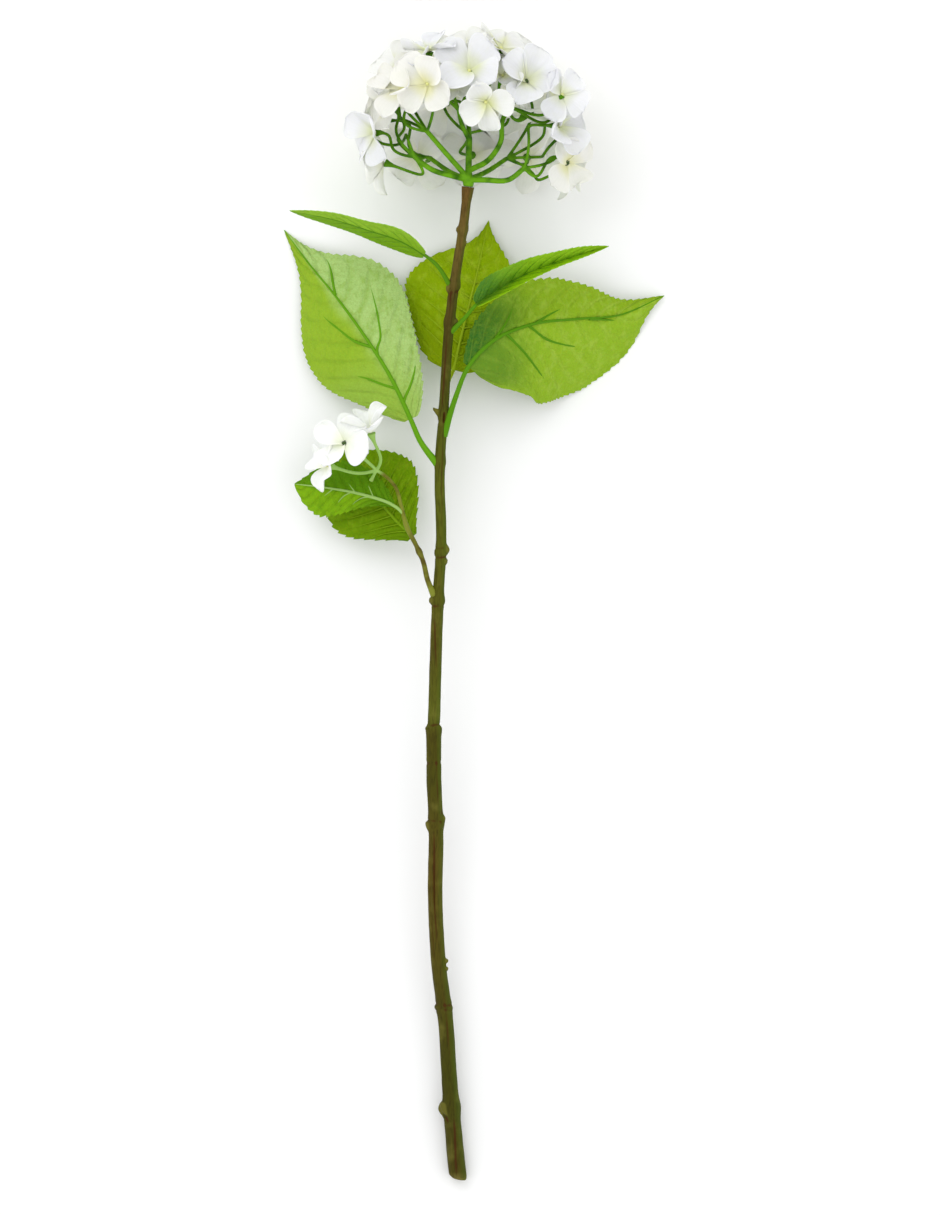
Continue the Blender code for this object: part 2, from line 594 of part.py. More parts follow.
def stem_at(y):
    ahead = (stem_centre(y + 1) - stem_centre(y - 1)).normalized()
    return stem_centre(y), max(stem_radius(y + d) for d in (-2, 0, 2)), ahead


def shoot_at(share):
    i = round(share * (len(shoot_line) - 1))
    ahead = (shoot_line[i + 1] - shoot_line[i - 1]).normalized()
    return shoot_line[i], max(shoot_radii[i - 1:i + 2]), ahead


def build_leaf(name, leaf, material):
    """A blade made from a shaped grid, joined to its stalk and midrib."""
    route = smooth_route(leaf["midrib"], MIDRIB_POINTS)
    work = bmesh.new()
    bmesh.ops.create_grid(work, x_segments=LEAF_STATIONS, y_segments=LEAF_COLUMNS, size=1.0)
    for vert in work.verts:
        t = BLADE_START + (BLADE_END - BLADE_START) * (vert.co.x + 1) / 2
        vert.co = leaf_spot(route, t, vert.co.y, leaf) * MM
    bmesh.ops.recalc_face_normals(work, faces=work.faces)
    mesh = bpy.data.meshes.new(name)
    work.to_mesh(mesh)
    work.free()
    blade = bpy.data.objects.new(name, mesh)
    scratch.objects.link(blade)
    shell = blade.modifiers.new("blade thickness", "SOLIDIFY")
    shell.thickness = LEAF_THICKNESS * MM
    shell.offset = 0.0
    thick = evaluated_mesh(blade)
    bpy.data.objects.remove(blade, do_unlink=True)
    blade = weld(name, thick)
    carrier, place = leaf["foot"]
    carrier_at = stem_at if carrier == "stem" else shoot_at
    foot = foot_on(*carrier_at(place), Vector(leaf["stalk"][0]))
    whole = [foot[0]] + smooth_route([foot[1]] + leaf["stalk"] + leaf["midrib"], RIB_POINTS)[:-1]
    taper = [(0, STALK_LEAF_RADIUS), (0.2, MIDRIB_RADIUS[0]), (1, MIDRIB_RADIUS[1])]
    radii = [along(taper, k / (len(whole) - 1)) for k in range(len(whole))]
    for point, radius in zip(whole, radii):
        point.z = max(point.z, radius + FLOOR_REST)
    rib = tube(name + "_rib", whole, radii, COARSE_ROUND)
    return keep(join(rib, [blade], folded=True), name, material)


# ---------------------------------------------------------------- assembly
bark = new_material("bark_green_brown", (0.13, 0.15, 0.04), 0.6)
shoot_green = new_material("shoot_green", (0.20, 0.25, 0.05), 0.55)
skeleton_green = new_material("cyme_green", (0.11, 0.32, 0.04), 0.45)
leaf_green = new_material("leaf_green", (0.28, 0.45, 0.06), 0.5)
petal_white = new_material("petal_white", (0.86, 0.87, 0.80), 0.7)

build_stem(bark)

shoot_foot = foot_on(*stem_at(SHOOT_FOOT_Y), Vector(SHOOT_ROUTE[0]))
shoot_line = shoot_foot[:1] + smooth_route([shoot_foot[1]] + SHOOT_ROUTE, SHOOT_POINTS)
shoot_radii = []
for k in range(len(shoot_line)):
    share = k / (len(shoot_line) - 1)
    swell = sum(extra * math.exp(-((share - at) / half) ** 2) for at, extra, half in SHOOT_NODES)
    shoot_radii.append(SHOOT_RADIUS[0] + (SHOOT_RADIUS[1] - SHOOT_RADIUS[0]) * share + swell)

for leaf_name, leaf_row in LEAVES.items():
    build_leaf(leaf_name, leaf_row, leaf_green)

# the rays of the head, and the forks at their ends
ray_routes = {}
ray_solids = []
for ray_name, (first_radius, last_radius, ray_points) in RAYS.items():
    ray_line = smooth_route([HUB + Vector(p) for p in ray_points], RAY_POINTS)
    ray_radii = list(np.linspace(first_radius, last_radius, len(ray_line)))
    ray_routes[ray_name] = list(zip(ray_line, ray_radii))
    ray_solids.append(tube("ray", ray_line, ray_radii))
stem_ahead = (stem_centre(STEM_TOP_Y) - stem_centre(STEM_TOP_Y - STEM_STEP)).normalized()
hub_foot = stem_centre(STEM_TOP_Y) + stem_ahead * GAP
hub_points = [hub_foot, hub_foot + stem_ahead * HUB_SWELL_AT, HUB + Vector((0, HUB_LENGTH, 0))]
hub_solid = tube("hub", hub_points, [HUB_RADIUS[0], HUB_RADIUS[0] + HUB_SWELL, HUB_RADIUS[1]], FINE_ROUND)

# florets are settled one after another, clear of the rays and of each other
trees = []
placed = []
for index, (ray_name, place, facing, turn, petal) in enumerate(HEAD_FLORETS):
    settled = settle(HUB + Vector(place), facing, turn, petal, trees, ray_routes.values())
    trees.append(settled[1])
    placed.append((ray_name, settled[2], facing))
    build_floret("floret_%02d" % (index + 1), settled[0], petal_white)

forks = {name: (line[-1][0], (line[-1][0] - line[-2][0]).normalized()) for name, line in ray_routes.items()}
stalk_solids = []
for index, (ray_name, seat, facing) in enumerate(placed):
    others = trees[:index] + trees[index + 1:]
    nearest_first = sorted(forks, key=lambda name: (name != ray_name, (forks[name][0] - seat).length))
    for name in nearest_first:
        found = find_stalk(forks[name], STALK_LEADS.get(index + 1), seat, facing, trees[index], others)
        if found is not None:
            break
    if found is None:
        raise ValueError("no free way for the stalk of floret %d" % (index + 1))
    stalk_solids.append(tube("stalk", found, stalk_radii(found), COARSE_ROUND))
keep(join(hub_solid, ray_solids + stalk_solids), "flower_head_stalks", skeleton_green)

# the side shoot with its own stalks and florets
shoot_end = shoot_line[-1].lerp(shoot_line[-2], SHOOT_FORK_BACK)
bud_tip = Vector(SHOOT_BUD)
shoot_pieces = [tube("bud", [shoot_end, shoot_end.lerp(bud_tip, BUD_SHOULDER), bud_tip],
                     SHOOT_BUD_RADII, COARSE_ROUND)]
shoot_trees = []
for index, (lead, place, facing, turn, petal) in enumerate(SHOOT_FLORETS):
    settled = settle(Vector(place), facing, turn, petal, shoot_trees, [])
    shoot_trees.append(settled[1])
    build_floret("side_floret_%d" % (index + 1), settled[0], petal_white)
    stalk = with_calyx(stalk_route(shoot_end, lead, settled[2], facing, SHOOT_SLACK, 0.0),
                       Vector(facing).normalized())
    shoot_pieces.append(tube("stalk", stalk, stalk_radii(stalk), COARSE_ROUND))
keep(join(tube("shoot", shoot_line, shoot_radii), shoot_pieces), "side_shoot", shoot_green)
bpy.data.collections.remove(scratch)
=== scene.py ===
import math
import random

import bpy
import numpy as np
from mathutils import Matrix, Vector
from mathutils.bvhtree import BVHTree


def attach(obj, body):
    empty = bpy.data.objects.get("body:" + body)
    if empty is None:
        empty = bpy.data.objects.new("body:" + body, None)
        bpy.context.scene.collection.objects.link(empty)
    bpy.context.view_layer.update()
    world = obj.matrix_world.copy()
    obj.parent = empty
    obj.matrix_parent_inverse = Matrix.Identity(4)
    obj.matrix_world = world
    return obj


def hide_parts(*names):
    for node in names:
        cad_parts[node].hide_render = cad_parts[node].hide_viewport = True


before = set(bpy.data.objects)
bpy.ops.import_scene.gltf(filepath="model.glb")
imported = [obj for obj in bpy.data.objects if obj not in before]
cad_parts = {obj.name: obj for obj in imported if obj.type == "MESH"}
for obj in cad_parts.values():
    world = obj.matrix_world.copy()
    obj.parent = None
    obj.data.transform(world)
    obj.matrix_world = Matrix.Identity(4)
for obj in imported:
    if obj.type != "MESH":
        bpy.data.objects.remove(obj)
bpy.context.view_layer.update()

# ------ main stem
# The stem is a wire core in moulded plastic, coloured like young wood: dark olive at the cut
# end and brown under the flower. Its nodes, leaf scars, long grooves and the pegs of cut side
# shoots are all in the moulding.
# Lengths are in millimetres, and MM turns them into metres.
MM = 0.001
STEM_FOOT_Y = -368.5
STEM_TOP_Y = 270.0
STEM_FOOT_HEIGHT = 5.6
STEM_TOP_HEIGHT = 63.5
STEM_SIDEWAYS = [
    (-368.5, -9.9), (-326, -13.8), (-262, -18.2), (-224, -22.7), (-186, -24.6),
    (-141, -24.0), (-109, -25.3), (-74, -25.3), (-26, -24.0), (6, -22.7),
    (38, -20.8), (96, -21.4), (128, -18.9), (179, -15.7), (211, -11.8),
    (243, -6.7), (270, -3.5),
]
STEM_RADIUS = [
    (-368.5, 5.8), (-345, 5.6), (-318, 5.3), (-300, 4.9), (-250, 4.8), (-140, 4.7),
    (-75.5, 4.8), (-73, 3.9), (-40, 3.9), (6, 3.8), (38, 3.3), (260, 3.0), (270, 4.1),
]
# place along y, extra radius and half length of each swollen node
STEM_NODES = [
    (-321, 0.9, 5), (-256, 0.7, 4), (-137, 1.0, 4), (-77, 0.5, 3), (6, 0.9, 4),
    (37, 0.9, 4), (95, 0.7, 4), (126, 0.6, 4), (184, 0.8, 4), (207, 0.9, 4), (243, 0.5, 3),
]
# y, bearing round the stem, height, half width along y, half width round the stem, lean
STEM_PEGS = [
    (126, 172, 3.2, 1.8, 0.5, 0.9), (-322, 160, 2.2, 4.2, 0.7, 0.5), (-226, 12, 1.7, 1.5, 0.4, 0.2),
    (-231, 20, 1.3, 1.3, 0.4, 0.1), (39, 18, 1.5, 2.6, 0.6, 0.2), (31, 24, 1.1, 1.8, 0.6, 0.1),
    (-139, 168, 1.1, 3.0, 0.7, 0.5), (-134, 15, 1.0, 2.2, 0.7, -0.2), (6, 160, 1.2, 2.2, 0.7, 0.2),
    (243, 170, 0.9, 1.8, 0.6, 0.2), (234, 20, 0.8, 1.6, 0.6, 0.2), (184, 15, 1.3, 2.2, 0.7, 0.2),
    (205, 165, 1.2, 2.6, 0.8, 0.3), (-75, 178, 0.5, 1.6, 0.9, 0.0), (-256, 170, 0.6, 1.8, 0.9, 0.0),
]
# y, depth and half length of narrow rings pressed into the moulding
STEM_RINGS = [
    (-74, 0.5, 0.9), (-135, 0.45, 1.0), (-254, 0.45, 1.1), (-258, 0.3, 0.8), (3, 0.4, 0.9),
    (34, 0.5, 0.9), (40, 0.35, 0.8), (203, 0.5, 1.2), (-98, 0.35, 1.2), (121, 0.35, 1.0),
]
# start y, end y, bearing, turn over its length, depth, half width in radians
STEM_GROOVES = [
    (-215, -142, 95, 10, 0.9, 0.16), (-366, -325, 100, -25, 0.8, 0.2), (-40, -5, 80, 40, 0.6, 0.2),
    (120, 240, 120, -20, 0.45, 0.22), (-132, -80, 60, 15, 0.4, 0.2), (-300, -235, 70, 20, 0.4, 0.2),
    (45, 118, 75, -15, 0.35, 0.22), (119, 127, 82, 0, 1.3, 0.2), (196, 206, 130, 0, 0.9, 0.3),
    (-331, -318, 120, 60, 0.9, 0.22), (-139, -128, 60, -40, 0.5, 0.25), (-240, -160, 120, 10, 0.5, 0.12),
]
RING_WAVER = 0.6
RIDGE_SHARE = 0.5
# height, length along the stem, turns round it and seed of each wave of the bark
BARK_WAVES = [(0.28, 14, 2, 11), (0.12, 3.5, 6, 12)]
CUT_ROUNDING = 3.0
CUT_PINCH = 0.22
CUT_SLANT = 0.24
CUT_REACH = 9.0
LEAST_HEIGHT = 0.05
AXIS_RADIUS = 0.2
STEM_STEPS = 760
STEM_SIDES = 44


def along(table, place):
    """Value of a table of (place, value) rows at a place."""
    return float(np.interp(place, [row[0] for row in table], [row[1] for row in table]))


def soft_line(points, count):
    """Evenly spaced points on a smooth curve through the given points."""
    knots = [Vector(p) for p in points]
    spans = [(b - a).length for a, b in zip(knots, knots[1:])]
    ways = [(b - a) / span for a, b, span in zip(knots, knots[1:], spans)]
    slopes = [ways[0]]
    for i in range(1, len(ways)):
        slopes.append((ways[i - 1] * spans[i] + ways[i] * spans[i - 1]) / (spans[i - 1] + spans[i]))
    slopes.append(ways[-1])
    fine = []
    for i, span in enumerate(spans):
        for k in range(12):
            t = k / 12
            fine.append(knots[i] * (2 * t ** 3 - 3 * t * t + 1) + slopes[i] * span * (t ** 3 - 2 * t * t + t)
                        + knots[i + 1] * (3 * t * t - 2 * t ** 3) + slopes[i + 1] * span * (t ** 3 - t * t))
    fine.append(knots[-1])
    steps = [0.0]
    for here, there in zip(fine, fine[1:]):
        steps.append(steps[-1] + (there - here).length)
    wanted = np.linspace(0.0, steps[-1], count)
    return [Vector([float(np.interp(w, steps, [p[axis] for p in fine])) for axis in range(3)])
            for w in wanted]


def clear_selection():
    if bpy.context.object and bpy.context.object.mode != "OBJECT":
        bpy.ops.object.mode_set(mode="OBJECT")
    bpy.ops.object.select_all(action="DESELECT")


def moulded_rod(name, points, radii, sides):
    """A closed round rod along a line in millimetres."""
    clear_selection()
    bpy.ops.curve.primitive_nurbs_path_add()
    rod = bpy.context.object
    rod.name = name
    rod.data.dimensions = "3D"
    rod.data.splines.clear()
    spline = rod.data.splines.new("POLY")
    spline.points.add(len(points) - 1)
    for knot, point, radius in zip(spline.points, points, radii):
        knot.co = (*(Vector(point) * MM), 1.0)
        knot.radius = radius * MM
    rod.data.bevel_depth = 1.0
    rod.data.bevel_resolution = (sides - 4) // 2
    rod.data.use_fill_caps = True
    bpy.ops.object.convert(target="MESH")
    rod = bpy.context.object
    bpy.ops.object.mode_set(mode="EDIT")
    bpy.ops.mesh.select_all(action="SELECT")
    bpy.ops.mesh.remove_doubles(threshold=0.00001)
    bpy.ops.mesh.normals_make_consistent(inside=False)
    bpy.ops.object.mode_set(mode="OBJECT")
    return rod


def stem_centre(y):
    rise = (y - STEM_FOOT_Y) / (STEM_TOP_Y - STEM_FOOT_Y)
    height = STEM_FOOT_HEIGHT + rise * (STEM_TOP_HEIGHT - STEM_FOOT_HEIGHT)
    return Vector((along(STEM_SIDEWAYS, y), y, height))


def stem_radius(y):
    swell = sum(extra * math.exp(-((y - place) / half) ** 2) for place, extra, half in STEM_NODES)
    return along(STEM_RADIUS, y) + swell


def ripple(seed, count=6):
    """A smooth random wave of two numbers, the same on every run."""
    dice = random.Random(seed)
    waves = [(dice.uniform(0.5, 2.0), dice.uniform(0.5, 2.0), dice.uniform(0, math.tau))
             for _ in range(count)]
    return lambda a, b: sum(math.sin(a * p + b * q * (-1) ** k + r)
                            for k, (p, q, r) in enumerate(waves)) / count


def turned(angle):
    """An angle brought to between -pi and pi."""
    return (angle + math.pi) % math.tau - math.pi


stem_line = soft_line([stem_centre(y) for y, _ in STEM_SIDEWAYS], STEM_STEPS)
stem_piece = moulded_rod("stem_moulding", stem_line, [stem_radius(p.y) for p in stem_line], STEM_SIDES)
bark_waves = [(height, span, turns, ripple(seed)) for height, span, turns, seed in BARK_WAVES]
relief = stem_piece.data.attributes.new(name="relief", type="FLOAT", domain="POINT")
facing_right = stem_piece.data.attributes.new(name="facing_right", type="FLOAT", domain="POINT")
for vertex in stem_piece.data.vertices:
    spot = vertex.co / MM
    centre = stem_centre(min(max(spot.y, STEM_FOOT_Y), STEM_TOP_Y))
    out = Vector((spot.x - centre.x, 0.0, spot.z - centre.z))
    if out.length < AXIS_RADIUS:
        continue
    bearing = math.atan2(out.z, out.x)
    raised = sum(height * wave(spot.y / span, bearing * turns) for height, span, turns, wave in bark_waves)
    ahead = 0.0
    for y, side, height, length, width, lean in STEM_PEGS:
        away = turned(bearing - math.radians(side))
        bump = math.exp(-(((spot.y - y) / length) ** 4) - (away / width) ** 4)
        raised += height * bump
        ahead += height * lean * bump
    for y, depth, half in STEM_RINGS:
        raised -= depth * math.exp(-((spot.y - y - RING_WAVER * math.sin(bearing + y)) / half) ** 2)
    for first, last, side, turn, depth, width in STEM_GROOVES:
        share = (spot.y - first) / (last - first)
        if 0 < share < 1:
            away = turned(bearing - math.radians(side + turn * share))
            arch = math.sin(share * math.pi)
            raised -= depth * arch ** 0.5 * math.exp(-(away / width) ** 2)
            raised += RIDGE_SHARE * depth * arch * math.exp(-((abs(away) - 2 * width) / width) ** 2)
    relief.data[vertex.index].value = raised
    facing_right.data[vertex.index].value = math.cos(bearing)
    spot += out.normalized() * raised + Vector((0, ahead, 0))
    if spot.y < STEM_FOOT_Y + CUT_ROUNDING:
        near_end = (STEM_FOOT_Y + CUT_ROUNDING - spot.y) / CUT_ROUNDING
        spot -= Vector((out.x, 0, out.z)) * CUT_PINCH * near_end ** 2
    if spot.y < STEM_FOOT_Y + CUT_REACH:
        near_cut = 1 - (spot.y - STEM_FOOT_Y) / CUT_REACH
        spot.y += CUT_SLANT * (stem_radius(STEM_FOOT_Y) - out.x) * min(near_cut, 1.0)
    spot.z = max(spot.z, LEAST_HEIGHT)
    vertex.co = spot * MM


class Wire:
    """One socket of a finish. Arithmetic on wires adds Math nodes."""

    def __init__(self, finish, socket):
        self.finish = finish
        self.socket = socket

    def math(self, operation, first, second):
        return self.finish.node("ShaderNodeMath", {"operation": operation}, {0: first, 1: second})

    def __add__(self, other):
        return self.math("ADD", self, other)

    def __sub__(self, other):
        return self.math("SUBTRACT", self, other)

    def __mul__(self, other):
        return self.math("MULTIPLY", self, other)

    def __truediv__(self, other):
        return self.math("DIVIDE", self, other)

    def __pow__(self, other):
        return self.math("POWER", self, other)

    def __rsub__(self, other):
        return self.math("SUBTRACT", other, self)

    def __rtruediv__(self, other):
        return self.math("DIVIDE", other, self)

    __radd__ = __add__
    __rmul__ = __mul__


class Finish:
    """A painted or dyed surface, made of shader nodes."""

    def __init__(self, name, constants):
        self.material = bpy.data.materials.new(name)
        self.material.use_nodes = True
        self.tree = self.material.node_tree
        self.shader = self.tree.nodes["Principled BSDF"]
        for socket, value in constants.items():
            self.shader.inputs[socket].default_value = value

    def node(self, kind, settings=None, inputs=None, output=0):
        made = self.tree.nodes.new(kind)
        for key, value in (settings or {}).items():
            if key == "stops":
                ramp = made.color_ramp
                while len(ramp.elements) < len(value):
                    ramp.elements.new(0.5)
                for stop, (place, colour) in zip(ramp.elements, value):
                    stop.position = place
                    stop.color = colour
            else:
                setattr(made, key, value)
        for key, value in (inputs or {}).items():
            self.feed(made.inputs[key], value)
        return Wire(self, made.outputs[output])

    def feed(self, socket, value):
        if isinstance(value, Wire):
            self.tree.links.new(value.socket, socket)
        else:
            socket.default_value = value

    def coat(self, socket, value):
        self.feed(self.shader.inputs[socket], value)

    def place(self):
        """The place on the piece, in metres."""
        return self.node("ShaderNodeTexCoord", output="Object")

    def axis(self, vector, letter):
        """One number of a vector."""
        return self.node("ShaderNodeSeparateXYZ", {}, {0: vector}, letter)

    def stretched(self, place, scale):
        return self.node("ShaderNodeMapping", {}, {"Vector": place, "Scale": scale})

    def noise(self, place, scale, detail=4.0, roughness=0.5):
        return self.node("ShaderNodeTexNoise", {}, {"Vector": place, "Scale": scale, "Detail": detail,
                                                    "Roughness": roughness}, "Fac")

    def blend(self, share, first, second):
        """A colour between two colours."""
        return self.node("ShaderNodeMix", {"data_type": "RGBA"}, {0: share, 6: first, 7: second}, 2)

    def step(self, value, low, high):
        """0 below low and 1 above high, with a soft step between."""
        return self.node("ShaderNodeMapRange", {"interpolation_type": "SMOOTHSTEP"},
                         {"Value": value, "From Min": low, "From Max": high})

    def bump(self, height, strength, distance):
        self.coat("Normal", self.node("ShaderNodeBump", {}, {"Strength": strength, "Distance": distance,
                                                             "Height": height}))


def paint(red, green, blue):
    """A paint colour given as it looks on a screen, from 0 to 255."""
    def level(value):
        value = value / 255
        return value / 12.92 if value <= 0.04045 else ((value + 0.055) / 1.055) ** 2.4
    return (level(red), level(green), level(blue), 1.0)


BARK_FOOT = 0.37
BARK_LENGTH = 0.64
# colours along the stem from its cut end
BARK_COLOURS = [
    (0.0, (132, 122, 62)), (0.012, (70, 64, 14)), (0.11, (64, 65, 9)), (0.31, (86, 74, 20)),
    (0.408, (71, 69, 12)), (0.455, (74, 69, 13)), (0.47, (88, 93, 22)), (0.54, (80, 76, 17)),
    (0.69, (86, 93, 18)), (0.79, (76, 76, 15)), (0.86, (70, 62, 16)), (0.95, (108, 90, 40)),
    (1.0, (106, 78, 36)),
]


def bark_finish():
    bark = Finish("moulded_bark", {"Specular IOR Level": 0.08})
    place = bark.place()
    rise = (bark.axis(place, "Y") + BARK_FOOT) / BARK_LENGTH
    ground = bark.node("ShaderNodeValToRGB", {
        "stops": [(stop, paint(*colour)) for stop, colour in BARK_COLOURS]}, {"Fac": rise})
    streaks = bark.noise(bark.stretched(place, (1.0, 0.12, 1.0)), 900.0, 5.0, 0.6)
    blotches = bark.noise(place, 70.0, 3.0)
    colour = bark.blend(bark.step(streaks, 0.4, 0.75) * 0.6, ground, paint(44, 36, 8))
    colour = bark.blend(bark.step(blotches, 0.52, 0.75) * 0.35, colour, paint(122, 118, 50))
    right = bark.node("ShaderNodeAttribute", {"attribute_name": "facing_right"}, output="Fac")
    colour = bark.blend(bark.step(right, 0.1, 0.8) * 0.4, colour, paint(70, 92, 16))
    raised = bark.node("ShaderNodeAttribute", {"attribute_name": "relief"}, output="Fac")
    colour = bark.blend(bark.step(raised, 0.25, 1.1) * 0.5, colour, paint(120, 116, 48))
    colour = bark.blend(bark.step(0 - raised, 0.12, 0.6) * 0.8, colour, paint(70, 34, 8))
    bark.coat("Base Color", colour)
    bark.coat("Roughness", 0.55 + 0.2 * streaks)
    bark.bump(streaks, 0.5, 0.0006)
    return bark.material


def paint_over(piece, material):
    piece.data.materials.clear()
    piece.data.materials.append(material)


def finish_piece(piece, node, angle):
    clear_selection()
    bpy.context.view_layer.objects.active = piece
    piece.select_set(True)
    bpy.ops.object.transform_apply(location=True, rotation=True, scale=True)
    bpy.ops.object.shade_smooth_by_angle(angle=math.radians(angle))
    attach(piece, "root")
    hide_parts(node)


paint_over(stem_piece, bark_finish())
finish_piece(stem_piece, "main_stem", 75)

# ------ leaves
# Seven leaves of printed polyester cloth. A moulded skeleton of midrib and side veins is
# bonded to each, and its foot plugs into a node of the stem or of the side shoot. The cloth
# is pressed into a quilt between the veins, and its margin is cut in small forward teeth.
NARROW_HALF = [(0, 1.5), (0.07, 4.5), (0.18, 6), (0.28, 6), (0.46, 4.4), (0.68, 3.8), (0.87, 2.2),
               (0.95, 1), (1, 0)]
# of each leaf: foot, stalk, midrib, and for each half its slope, how much it bends, and its
# width from foot to tip
LEAVES = {
    "leaf_left_large": dict(
        foot=(-22.8, 93.0, 47.6), stalk=[(-34, 108, 51.5)],
        midrib=[(-40, 121.6, 51), (-53, 149, 48), (-70.7, 177, 40), (-90, 203.5, 25),
                (-106.6, 224, 9), (-122.3, 245.5, 0.0)],
        left=(-22, -30, [(0, 3), (0.06, 15), (0.19, 31), (0.31, 41), (0.46, 41), (0.6, 31), (0.72, 18),
                         (0.81, 9), (0.91, 4), (1, 0)]),
        right=(-2, -22, [(0, 4), (0.05, 13), (0.15, 20), (0.3, 29), (0.48, 40), (0.6, 38), (0.68, 31),
                         (0.76, 20), (0.86, 8), (0.93, 3), (1, 0)])),
    "leaf_right_large": dict(
        foot=(-19.0, 111.5, 49.3), stalk=[(-11, 137, 57)],
        midrib=[(-3.5, 155, 58), (12.5, 172, 56), (35.5, 182.4, 48), (67.5, 187, 32),
                (94, 190, 16), (123.2, 203, 3)],
        left=(-8, -16, [(0, 4), (0.1, 14), (0.2, 22), (0.32, 28), (0.46, 29.5), (0.57, 25), (0.68, 19),
                        (0.78, 12), (0.88, 6), (0.94, 3), (1, 0)]),
        right=(-18, -36, [(0, 6), (0.03, 27), (0.08, 42), (0.2, 49), (0.3, 50.5), (0.4, 50), (0.5, 47.5),
                          (0.6, 42.5), (0.7, 35), (0.78, 23), (0.85, 11), (0.92, 4), (1, 0)])),
    "leaf_back": dict(
        foot=(-17.5, 139, 49), stalk=[(-16, 147, 43)],
        midrib=[(-13, 153.6, 39), (-9, 170, 35), (-3, 195, 28), (3, 220, 17), (9.9, 251.5, 2)],
        left=(-14, -14, [(0, 6), (0.03, 20), (0.1, 26), (0.28, 36), (0.45, 45), (0.55, 43), (0.69, 33),
                         (0.77, 19), (0.84, 8), (0.92, 3), (1, 0)]),
        right=(-6, -12, [(0, 8), (0.05, 20), (0.2, 34), (0.4, 40), (0.6, 34), (0.75, 20), (0.86, 10),
                         (0.93, 3), (1, 0)])),
    "leaf_left_upper": dict(
        foot=(-13.6, 205, 58), stalk=[(-24.6, 221.4, 62)],
        midrib=[(-31, 226.5, 62), (-47, 236, 60), (-66, 242.5, 55), (-85.4, 249, 47), (-118, 256.5, 32)],
        left=(-76, 0, NARROW_HALF), right=(74, 0, NARROW_HALF)),
    "leaf_right_upper": dict(
        foot=(-14.6, 177.5, 55.6), stalk=[(-5.4, 186.6, 62)],
        midrib=[(1.6, 194.6, 66), (12.5, 202, 68), (33, 214, 67), (60, 224.5, 60), (86.7, 233, 46)],
        left=(60, 0, [(0, 3), (0.05, 8), (0.14, 11), (0.27, 9.6), (0.42, 8.4), (0.6, 6.4), (0.8, 4.6),
                      (0.92, 2.5), (1, 0)]),
        right=(66, 0, [(0, 1.5), (0.1, 4), (0.25, 5), (0.45, 5), (0.6, 3.6), (0.8, 2.8), (0.92, 1.5),
                       (1, 0)])),
    "leaf_shoot_front": dict(
        foot=(-45.0, 61.5, 47.3), stalk=[(-47.8, 64.6, 48.4)],
        midrib=[(-51, 66.8, 49), (-69.4, 73.5, 47.5), (-91.8, 78, 41), (-115, 81, 30)],
        left=(-14, -24, [(0, 1), (0.2, 6), (0.4, 13), (0.55, 18), (0.7, 20), (0.85, 15), (0.94, 8), (1, 0)]),
        right=(-8, -16, [(0, 2), (0.15, 12), (0.35, 19), (0.55, 20), (0.72, 16), (0.85, 9), (0.93, 4),
                         (1, 0)])),
    "leaf_shoot_back": dict(
        foot=(-37.0, 42.0, 45), stalk=[(-38.2, 43.6, 41.5)],
        midrib=[(-39.6, 46, 38.5), (-52, 60, 34), (-66, 77, 29), (-84, 103, 20)],
        left=(-10, -22, [(0, 3), (0.05, 6), (0.14, 14), (0.24, 22), (0.36, 31), (0.48, 35), (0.62, 33),
                         (0.78, 24), (0.9, 11), (1, 0)]),
        right=(-8, -24, [(0, 4), (0.1, 11), (0.21, 20), (0.37, 29), (0.5, 33), (0.62, 32), (0.75, 26),
                         (0.86, 17), (0.94, 7), (1, 0)])),
}
# colours of each leaf: left half, right half, moulded veins, painted shade at the foot of the blade, pressed
# lines
# On leaf_left_large the foot colour is a tone between its two halves rather than shade. The dark right half
# of leaf_shoot_front is painted shadow of the florets, and the pale right half of leaf_left_large is painted
# sheen.
LEAF_DYES_AND_PAINTED_LIGHT = {
    "leaf_left_large": [(146, 181, 44), (174, 206, 124), (98, 156, 14), (150, 186, 70), (128, 168, 40)],
    "leaf_right_large": [(138, 174, 32), (144, 182, 40), (84, 140, 8), (40, 100, 34), (166, 196, 74)],
    "leaf_back": [(142, 174, 1), (148, 182, 2), (158, 186, 26), (132, 158, 1), (176, 202, 52)],
    "leaf_left_upper": [(124, 174, 28), (152, 198, 52), (84, 136, 10), (126, 174, 20), (110, 160, 24)],
    "leaf_right_upper": [(148, 198, 34), (146, 196, 16), (84, 140, 6), (70, 126, 44), (104, 158, 10)],
    "leaf_shoot_front": [(126, 174, 16), (88, 138, 8), (156, 192, 104), (84, 132, 10), (84, 130, 6)],
    "leaf_shoot_back": [(108, 148, 1), (114, 156, 2), (124, 162, 12), (98, 136, 1), (140, 172, 26)],
}
